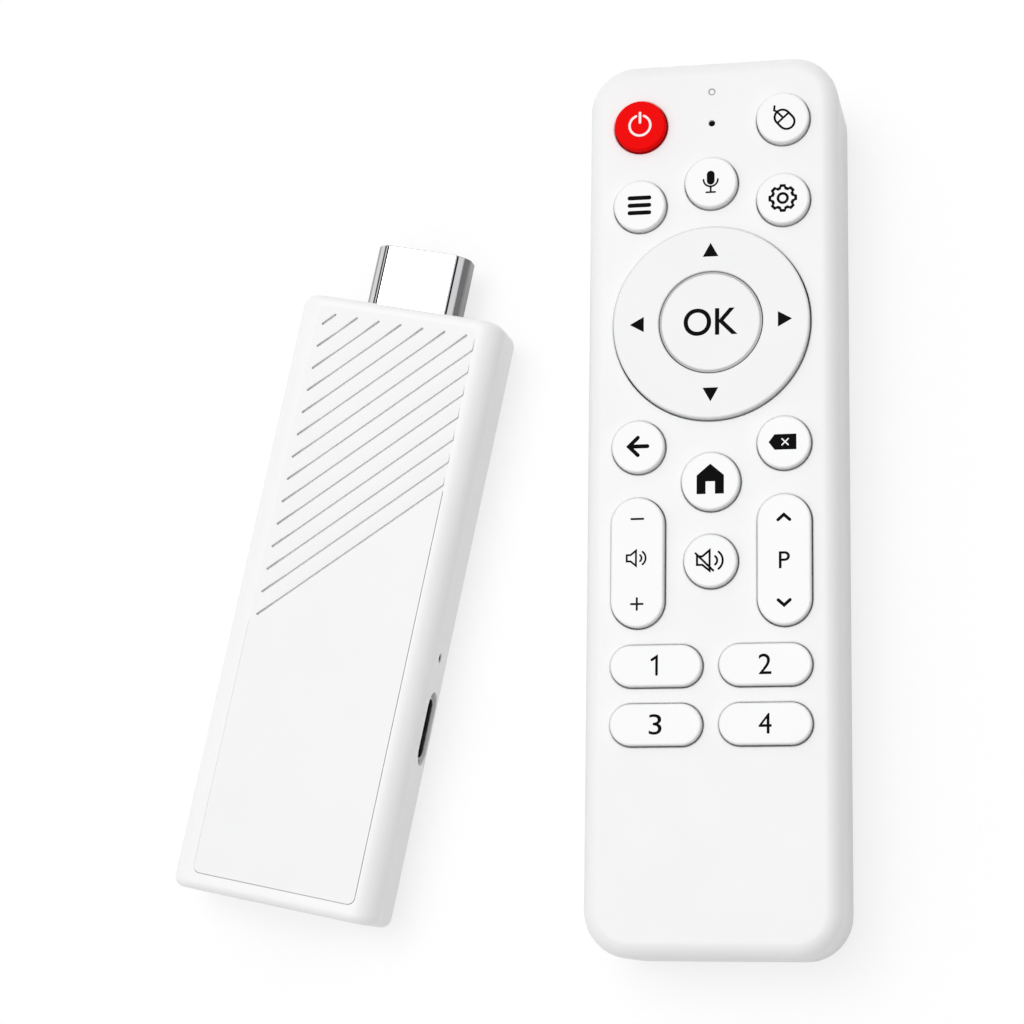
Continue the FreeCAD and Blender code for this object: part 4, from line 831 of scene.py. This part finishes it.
def build_back():
    """The remote's lower shell with the battery bay and the opening for the door."""
    form = carve(back_form(), slab(*INSIDE, WALL, SPLIT + 3, 1.2, 0.0))
    low, high = (end - BAY_WALL for end in BAY_LOW), (end + BAY_WALL for end in BAY_HIGH)
    form = carve(form, block((*low, 1), (*high, tub.high.z)), "UNION")
    form = carve(form, block((*BAY_LOW, -1), (*BAY_HIGH, tub.high.z - BAY_ROOF)))
    for room_taken in door_room(DOOR_GAP):
        form = carve(form, room_taken)
    return carve(form, led_hole())


def build_door():
    """The sliding battery door: a plate with finger grooves, turned up at its end."""
    form = carve(back_form(), carve(*door_room(0), "UNION"), "INTERSECT")
    half, grooves = GRIP_WIDE / 2, []
    for groove in range(GRIPS):
        y = door.high.y - GRIP_DOWN - GRIP_PITCH * groove
        grooves.append(block((-half, y - GRIP_CUT, -1), (half, y + GRIP_CUT, GRIP_CUT)))
    return carve(form, together(*grooves))


for name, form, body, node in (
    ("remote_back", build_back(), "remote", "remote_bottom_cover"),
    ("sliding_door", build_door(), "battery_door", "battery_cover"),
):
    add(name, form, REMOTE, body, REMOTE_WHITE, [node])

# What lies inside the remote, and the light and microphone in its face

BUTTON_TALL, BUTTON_RADIUS, CELL_EDGE, CRIMP = 0.9, 1.9, 0.5, 0.15
MAT_TOP, ROCK_DIP, ROCKER_FOOT = mat.low.z + 0.6, 0.35, 5.6
DOME_KEEP, BOOT_WIDE = 0.55, 2.9


def build_cell(size):
    """A battery standing on its flat end, about its own axis."""
    radius, top_end = size.x / 2, size.y / 2
    low, shoulder, side = -top_end, top_end - BUTTON_TALL, radius - CELL_EDGE
    profile = [(2.4, low + 0.1), (2.6, low), (radius - 1.1, low)]
    profile += arc(CELL_EDGE, (side, low + CELL_EDGE), -90, 0, 4)
    profile += arc(CELL_EDGE, (side, shoulder - CELL_EDGE), 0, 90, 4)
    profile += [(radius - 1.2, shoulder - CRIMP), (BUTTON_RADIUS + 0.05, shoulder - CRIMP)]
    profile += arc(0.3, (BUTTON_RADIUS - 0.3, top_end - 0.3), 0, 90, 4)
    return spun(profile, 48)


def add_cells():
    """Both batteries, lying the opposite way round to each other."""
    for name, span, way in (("battery_left", cells[0], 1), ("battery_right", cells[1], -1)):
        lying = Matrix.Rotation(math.radians(-90 * way), 4, "X")
        place = REMOTE @ Matrix.Translation(span.middle * MM) @ lying
        form = build_cell(span.size)
        add(name + "_cell", form, place, "remote", SLEEVE, [name])


def build_led():
    """The infrared light: a dome on a flanged body, lying along the remote."""
    radius, rim, low, tip = LED_WIDE / 2, LED_RIM / 2, led.low.y, led.high.y
    profile = [(AXIS_RADIUS, low), (rim, low), (rim, low + 0.8), (radius, low + 0.8)]
    profile += arc(radius, (0, tip - radius), 0, 90, 8)
    profile[-1] = (AXIS_RADIUS, tip)
    return laid(lathe(profile, 40), *AHEAD, (0, 0, led.middle.z))


def stud(at, high):
    """A springy dome on the mat, under the foot of a key."""
    foot, neck = (1.75, MAT_TOP - 0.05), (1.45, MAT_TOP + 0.12)
    return spun([foot, neck, (1.15, high - 0.15), (1.0, high)], 24, at)


def add_mat():
    """The silicone mat: a sheet, a stud under each key, and two under each rocker."""
    middle = (0, mat.middle.y)
    forms = [slab(mat.size.x, mat.size.y, 4.0, mat.low.z, MAT_TOP, 0.1, 0.15, at=middle)]
    for name in ROCKERS:
        x, y = spot(name)
        for foot in (y + ROCKER_FOOT, y - ROCKER_FOOT):
            forms.append(stud((x, foot), mat.high.z - ROCK_DIP))
    sheet = together(*forms)
    add("silicone_mat", sheet, REMOTE, "remote", SILICONE, ["keypad_mat"])
    for name in ROUND_KEYS + APP_KEYS + ["ok_key"]:
        at = PAD_AT if name == "ok_key" else spot(name)
        dome = add(name + "_dome", stud(at, mat.high.z), REMOTE, "remote", SILICONE)
        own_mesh(dome)


def build_boot():
    """The soft ring that carries the direction ring: a folded wall."""
    low, high = boot.low.z, boot.high.z
    outer, inner = boot.size.x / 2, boot.size.x / 2 - BOOT_WIDE
    fold = [(0, low), (0, low + 0.4), (0.7, low + 0.7), (0.7, high - 0.3), (1.0, high)]
    profile = [(outer - x, z) for x, z in fold] + [(inner + x, z) for x, z in reversed(fold)]
    return lathe(profile, 72, PAD_AT)


def add_light():
    """The status light's clear pipe, necked under the face, and a grey ring around its tip, painted
    shade standing in for the shadow in the gap there.
    """
    wide, tip = pipe.size.x / 2, pipe.size.x / 3
    neck, low, high = FACE - 0.45, FACE - 0.4, FACE - BARELY
    profile = [(AXIS_RADIUS, pipe.low.z), (wide, pipe.low.z), (wide, neck), (tip, neck)]
    profile += [(tip, FACE - 0.1), (tip - 0.06, FACE - 0.03), (AXIS_RADIUS, high)]
    form = lathe(profile, 32, LIGHT_AT)
    add("light_tip", form, REMOTE, "remote", LIGHT_PIPE, ["status_light"])
    # Painted shade: a grey ring in the gap around the light's tip, standing in for the shadow
    # there.
    inner = tip + 0.01
    rim = lathe([(inner, low), (wide, low), (wide, high), (inner, high)], 32, LIGHT_AT)
    add("light_gap_shade", rim, REMOTE, "remote", GAP_SHADE_GREY)


def add_sound_mesh():
    """The dark cloth behind the microphone hole."""
    form = spun([(0.7, FACE - 0.8), (0.7, FACE - 0.45)], 32, SOUND_AT)
    add("sound_mesh", form, REMOTE, "remote", BLACK_PRINT, [])


add_cells()
add("infrared_dome", build_led(), REMOTE, "remote", LENS, ["infrared_led"])
add_mat()
add("soft_boot", build_boot(), REMOTE, "pad_boot", SILICONE, ["direction_boot"])
add_light()
add_sound_mesh()

# Print on the keys, each sign drawn about its key's middle

PRINT, PRINT_SINK, SHARPEST = 0.02, 0.002, 0.4


def area(points):
    """The size of the area that a closed outline surrounds."""
    total = sum(a.x * b.y - b.x * a.y for a, b in zip(points, points[1:] + points[:1]))
    return abs(total) / 2


def half_turn(middle, start, steps=8):
    """Points of a round end from one side of a drawn line to the other."""
    turn = [start - middle for step in range(1, steps)]
    for step, point in enumerate(turn, 1):
        point.rotate(Matrix.Rotation(math.radians(-180 * step / steps), 2))
    return [middle + point for point in turn]


def stroke(points, wide, closed=False):
    """A drawn line of even width, round at its ends, as a thin raised form."""
    spots = [Vector(p) for p in points]
    count = len(spots)

    def side(i):
        """The sideways step at one point, stretched at a bend."""
        before = spots[i] - spots[i - 1] if i or closed else spots[1] - spots[0]
        after = spots[(i + 1) % count] - spots[i] if i < count - 1 or closed else before
        a, b = before.normalized(), after.normalized()
        along = (a + b).normalized()
        stretch = 1 / max(along.dot(a), SHARPEST)
        return Vector((-along.y, along.x)) * wide / 2 * stretch

    left = [spots[i] + side(i) for i in range(count)]
    right = [spots[i] - side(i) for i in range(count)]
    if closed:
        outer, inner = (left, right) if area(left) > area(right) else (right, left)
        return carve(prism(outer, 0, PRINT), prism(inner, -1, 1))
    ends = half_turn(spots[-1], left[-1]), half_turn(spots[0], right[0])
    return prism(left + ends[0] + right[::-1] + ends[1], 0, PRINT)


def letters(word, wide, tall, x=0.0, y=0.0, weight=0.0):
    """A plain word or figure, fitted to a width and height about a point."""
    curve = bpy.data.curves.new("letters", "FONT")
    curve.body = word
    curve.extrude, curve.offset = PRINT / 2, weight
    text = linked("letters", curve)
    form = solved(text)
    bpy.data.objects.remove(text)
    low = [min(v.co[i] for v in form.verts) for i in range(2)]
    high = [max(v.co[i] for v in form.verts) for i in range(2)]
    for vertex in form.verts:
        vertex.co.x = x + ((vertex.co.x - low[0]) / (high[0] - low[0]) - 0.5) * wide
        vertex.co.y = y + ((vertex.co.y - low[1]) / (high[1] - low[1]) - 0.5) * tall
        vertex.co.z += PRINT / 2
    return form


def speaker(scale, wide, x=0.0, y=0.0):
    """A loudspeaker with two arcs of sound."""
    body = [(-1.04, 0.34), (-0.62, 0.34), (-0.04, 0.82), (-0.04, -0.82), (-0.62, -0.34)]
    body.append((-1.04, -0.34))
    shapes = [stroke([(x + a * scale, y + b * scale) for a, b in body], wide, closed=True)]
    for radius in (0.42, 0.86):
        bow = arc(radius * scale, (x + 0.14 * scale, y), -52, 52, 14)
        shapes.append(stroke(bow, wide))
    return shapes


def toothed(tip, valley, half):
    """The outline of a wheel with eight rounded teeth."""
    outline = []
    for tooth in range(8):
        for turn, radius in ((-half - 4, valley), (-half, tip), (half, tip), (half + 4, valley)):
            angle = math.radians(45 * tooth + turn)
            outline.append((radius * math.cos(angle), radius * math.sin(angle)))
    return smooth_corners(outline, [0.12] * len(outline), 3)


def gear():
    """A toothed wheel drawn in outline with a ring in its middle."""
    wheel = prism(toothed(1.98, 1.64, 11.5), 0, PRINT)
    wheel = carve(wheel, prism(toothed(1.57, 1.24, 7.0), -1, 1))
    return [wheel, stroke(arc(0.65), 0.36, closed=True)]


def pointer():
    """A computer mouse with its cord, leaning to the left."""
    body = [Vector(p) for p in rounded(2.1, 3.0, 1.05, 6)]
    body = [p for i, p in enumerate(body) if (p - body[i - 1]).length > 1e-4]
    lean, shift = Matrix.Rotation(math.radians(42), 2), Vector((0.28, -0.3))
    shapes = [stroke([lean @ p + shift for p in body], 0.3, closed=True)]
    for run in (
        [(0, 1.5), (0, 0.35)],
        [(-1.05, 0.3), (1.05, 0.3)],
        [(0, 1.5), (-0.15, 1.95), (0.3, 2.35)],
    ):
        shapes.append(stroke([lean @ Vector(p) + shift for p in run], 0.28))
    return [merged(shapes)]


def microphone():
    """A plain microphone on its stand."""
    capsule = prism([(x, y + 0.6) for x, y in rounded(1.06, 1.96, 0.53)], 0, PRINT)
    cradle = stroke(arc(0.98, (0, 0.35), -180, 0, 20), 0.24)
    stem, foot = stroke([(0, -0.62), (0, -1.4)], 0.24), stroke([(-0.6, -1.45), (0.6, -1.45)], 0.24)
    return [merged([capsule, cradle, stem, foot])]


def home():
    """A house with its door."""
    outline = [(0, 2.33), (-1.83, 0.76), (-1.83, -1.76), (-0.63, -1.76), (-0.63, -0.06)]
    outline += [(0.63, -0.06), (0.63, -1.76), (1.83, -1.76), (1.83, 0.76)]
    return [prism(outline, 0, PRINT)]


def erase():
    """A tag that points left with a cross cut out of it."""
    tag = prism([(-2.0, 0), (-1.2, 1.05), (1.7, 1.05), (1.7, -1.05), (-1.2, -1.05)], 0, PRINT)
    for way in (1, -1):
        cross = stroke([(-0.22, -0.42 * way), (0.62, 0.42 * way)], 0.18)
        cross.transform(Matrix.Translation((0, 0, -PRINT)) @ Matrix.Diagonal((1, 1, 3, 1)))
        tag = carve(tag, cross)
    return [tag]


def arrow():
    """An arrow that points left."""
    shaft, head = [(1.3, 0), (-1.1, 0)], [(0.0, 1.2), (-1.22, 0), (0.0, -1.2)]
    return [merged([stroke(shaft, 0.54), stroke(head, 0.52)])]


def power():
    """A broken ring with a bar in the gap."""
    return [stroke(arc(1.44, (0, 0), 112, 428, 40), 0.32), stroke([(0, 0.42), (0, 1.8)], 0.34)]


def menu():
    """Three bars."""
    return [stroke([(-1.35, y), (1.35, y)], 0.58) for y in (1.05, 0, -1.05)]


def volume():
    """Less and more, with a loudspeaker between them."""
    bars = ((-0.8, 5.85), (0.8, 5.85)), ((-0.78, -5.64), (0.78, -5.64)), ((0, -6.42), (0, -4.86))
    less, *more = (stroke(bar, 0.27) for bar in bars)
    return [less, merged(more)] + speaker(1.25, 0.25, -0.1, 0.54)


def channel():
    """Up and down, with a letter between them."""
    shapes = []
    for y, way in ((5.58, 1), (-5.81, -1)):
        bend = [(-0.78, y - 0.34 * way), (0, y + 0.36 * way), (0.78, y - 0.34 * way)]
        shapes.append(stroke(bend, 0.42))
    return shapes + [letters("P", 1.45, 2.25, 0.05, -0.13, 0.004)]


def mute():
    """A loudspeaker crossed out."""
    body, *bows = speaker(1.68, 0.28)
    return [merged([body, stroke([(-1.95, 1.0), (0.42, -1.37)], 0.28)])] + bows


def triangles():
    """Four arrowheads on the direction ring."""
    shapes = []
    for quarter in range(4):
        head = prism([(-1.06, 9.1), (1.06, 9.1), (0, 11.0)], 0, PRINT)
        head.transform(Matrix.Rotation(math.radians(90 * quarter), 4, "Z"))
        shapes.append(head)
    return shapes


def numeral(number):
    """A plain figure; the one is a bare stroke with a flag."""
    if number == 1:
        return [stroke([(-0.5, 0.75), (0.15, 1.18), (0.15, -1.2)], 0.34)]
    return [letters(str(number), 1.7, 2.7)]


def stamp(name, shapes, body, at=None, material=BLACK_PRINT):
    """Printed forms laid on a cap, at a place or in the middle of their key."""
    at = at or spot(body)
    form = together(*shapes)
    form.transform(Matrix.Translation((at[0], at[1], KEY_TOP - PRINT_SINK)))
    add(name + "_print", form, REMOTE, body, material, [], 60)


SIGNS = dict(mouse=pointer, voice=microphone, menu=menu, settings=gear)
SIGNS |= dict(back=arrow, delete=erase, home=home, mute=mute)
for name, draw in SIGNS.items():
    stamp(name, draw(), name + "_key")
stamp("power", power(), "power_key", material=WHITE_PRINT)
stamp("volume", volume(), "volume_rocker")
stamp("channel", channel(), "channel_rocker")
stamp("pad", triangles(), "pad_ring", PAD_AT)
stamp("ok", [letters("OK", 7.3, 3.77, weight=0.008)], "ok_key", PAD_AT)
for number, name in enumerate(APP_KEYS, 1):
    stamp(name, numeral(number), name)

# Floor, light and camera

BRIGHT_SIDE = Vector((-0.25, 0.15, 0.95)).normalized()
ROOM_LIGHT = ((0.1, 0.2), (0.45, 0.25), (0.6, 0.35), (0.75, 0.62), (0.9, 0.98))
FLAGS = ((0, 0.1), (0.4, 0.08), (0.45, 0.95), (0.62, 0.95), (0.66, 0.01), (0.85, 0.01), (0.91, 1))
FLOOR_HALF, FLOOR_DOWN = 6, 0.00002
GLOW_NEAR, GLOW_FROM, GLOW_TO = 0.7, 0.15, 0.5
WINDOW_AT, WINDOW_AIM, WINDOW_WIDE, WINDOW_WATTS = (-0.3, 0.35, 1.7), (0.02, 0, 0), 0.9, 9.8
CAMERA_AT, CAMERA_TURNS = (0.101, -0.056, 0.350), ((11.53, "Y"), (9.97, "X"), (0.67, "Z"))


def floor():
    """A white sheet that the object lies on; it keeps the object's soft shadow."""
    mesh, form = bpy.data.meshes.new("floor"), bmesh.new()
    corners = ((-1, -1), (1, -1), (1, 1), (-1, 1))
    places = [(x * FLOOR_HALF, y * FLOOR_HALF, -FLOOR_DOWN) for x, y in corners]
    form.faces.new([form.verts.new(place) for place in places])
    form.to_mesh(mesh)
    form.free()
    material, tree, shader = blank("floor_white")
    tint = between(tree, noise(tree, 3.0), grey(0.985), grey(0.99))
    fill(tree, shader, {"Base Color": tint, "Roughness": 0.9})
    away = new_node(tree, "ShaderNodeVectorMath", {0: own_place(tree)}, operation="LENGTH")
    growing = spread(tree, away.outputs["Value"], GLOW_NEAR, 1.0, GLOW_FROM, GLOW_TO)
    seen = tree.nodes.new("ShaderNodeLightPath").outputs["Is Camera Ray"]
    glow = tree.nodes.new("ShaderNodeEmission").outputs["Emission"]
    share = calculated(tree, "MULTIPLY", seen, growing)
    values = {"Fac": share, 1: shader.outputs["BSDF"], 2: glow}
    mix = new_node(tree, "ShaderNodeMixShader", values)
    tree.links.new(mix.outputs["Shader"], tree.nodes["Material Output"].inputs["Surface"])
    mesh.materials.append(material)
    linked("floor", mesh)


def window():
    """One soft square lamp."""
    light = bpy.data.lights.new("window", "AREA")
    light.shape, light.size, light.energy = "SQUARE", WINDOW_WIDE, WINDOW_WATTS
    shape = linked("window", light)
    shape.location = WINDOW_AT
    aim = Vector(WINDOW_AIM) - Vector(WINDOW_AT)
    shape.rotation_euler = aim.to_track_quat("-Z", "Y").to_euler()


def ramp(tree, value, stops):
    """A grey that follows a value from 0 to 1 through stops of place and level."""
    band = new_node(tree, "ShaderNodeValToRGB", {"Fac": value})
    marks = band.color_ramp.elements
    marks[0].position, marks[1].position = stops[0][0], stops[-1][0]
    for position, _ in stops[1:-1]:
        marks.new(position)
    for mark, (_, level) in zip(marks, stops):
        mark.color = (level, level, level, 1)
    return band.outputs["Color"]


def room():
    """A soft room: bright overhead and to the left, with dark flags that polished metal shows."""
    space = bpy.data.worlds.new("room")
    bpy.context.scene.world = space
    space.use_nodes = True
    tree = space.node_tree
    values = {0: own_place(tree, "Generated"), 1: BRIGHT_SIDE}
    aim = new_node(tree, "ShaderNodeVectorMath", values, operation="DOT_PRODUCT")
    lit = ramp(tree, spread(tree, aim.outputs["Value"], 0, 1, -1), ROOM_LIGHT)
    flags = ramp(tree, spread(tree, coordinate(tree, "Z", "Generated"), 0, 1), FLAGS)
    seen = tree.nodes.new("ShaderNodeLightPath")
    shown = between(tree, seen.outputs["Is Glossy Ray"], lit, flags)
    shown = between(tree, seen.outputs["Is Camera Ray"], shown, (1, 1, 1, 1))
    fill(tree, tree.nodes["Background"], {"Color": shown, "Strength": 1.0})


def camera():
    """Seen from above, a little to the right of the stick and below both items."""
    view = bpy.data.cameras.new("camera")
    view.sensor_width, view.lens = 36, 90
    view.shift_x, view.shift_y = -0.05, 0.05
    view.clip_start, view.clip_end = 0.01, 20
    shape = linked("camera", view)
    place = Matrix.Translation(CAMERA_AT)
    for degrees, axis in CAMERA_TURNS:
        place @= Matrix.Rotation(math.radians(degrees), 4, axis)
    shape.matrix_world = place
    bpy.context.scene.camera = shape


floor()
camera()
window()
room()
bpy.context.scene.view_settings.view_transform = "Standard"
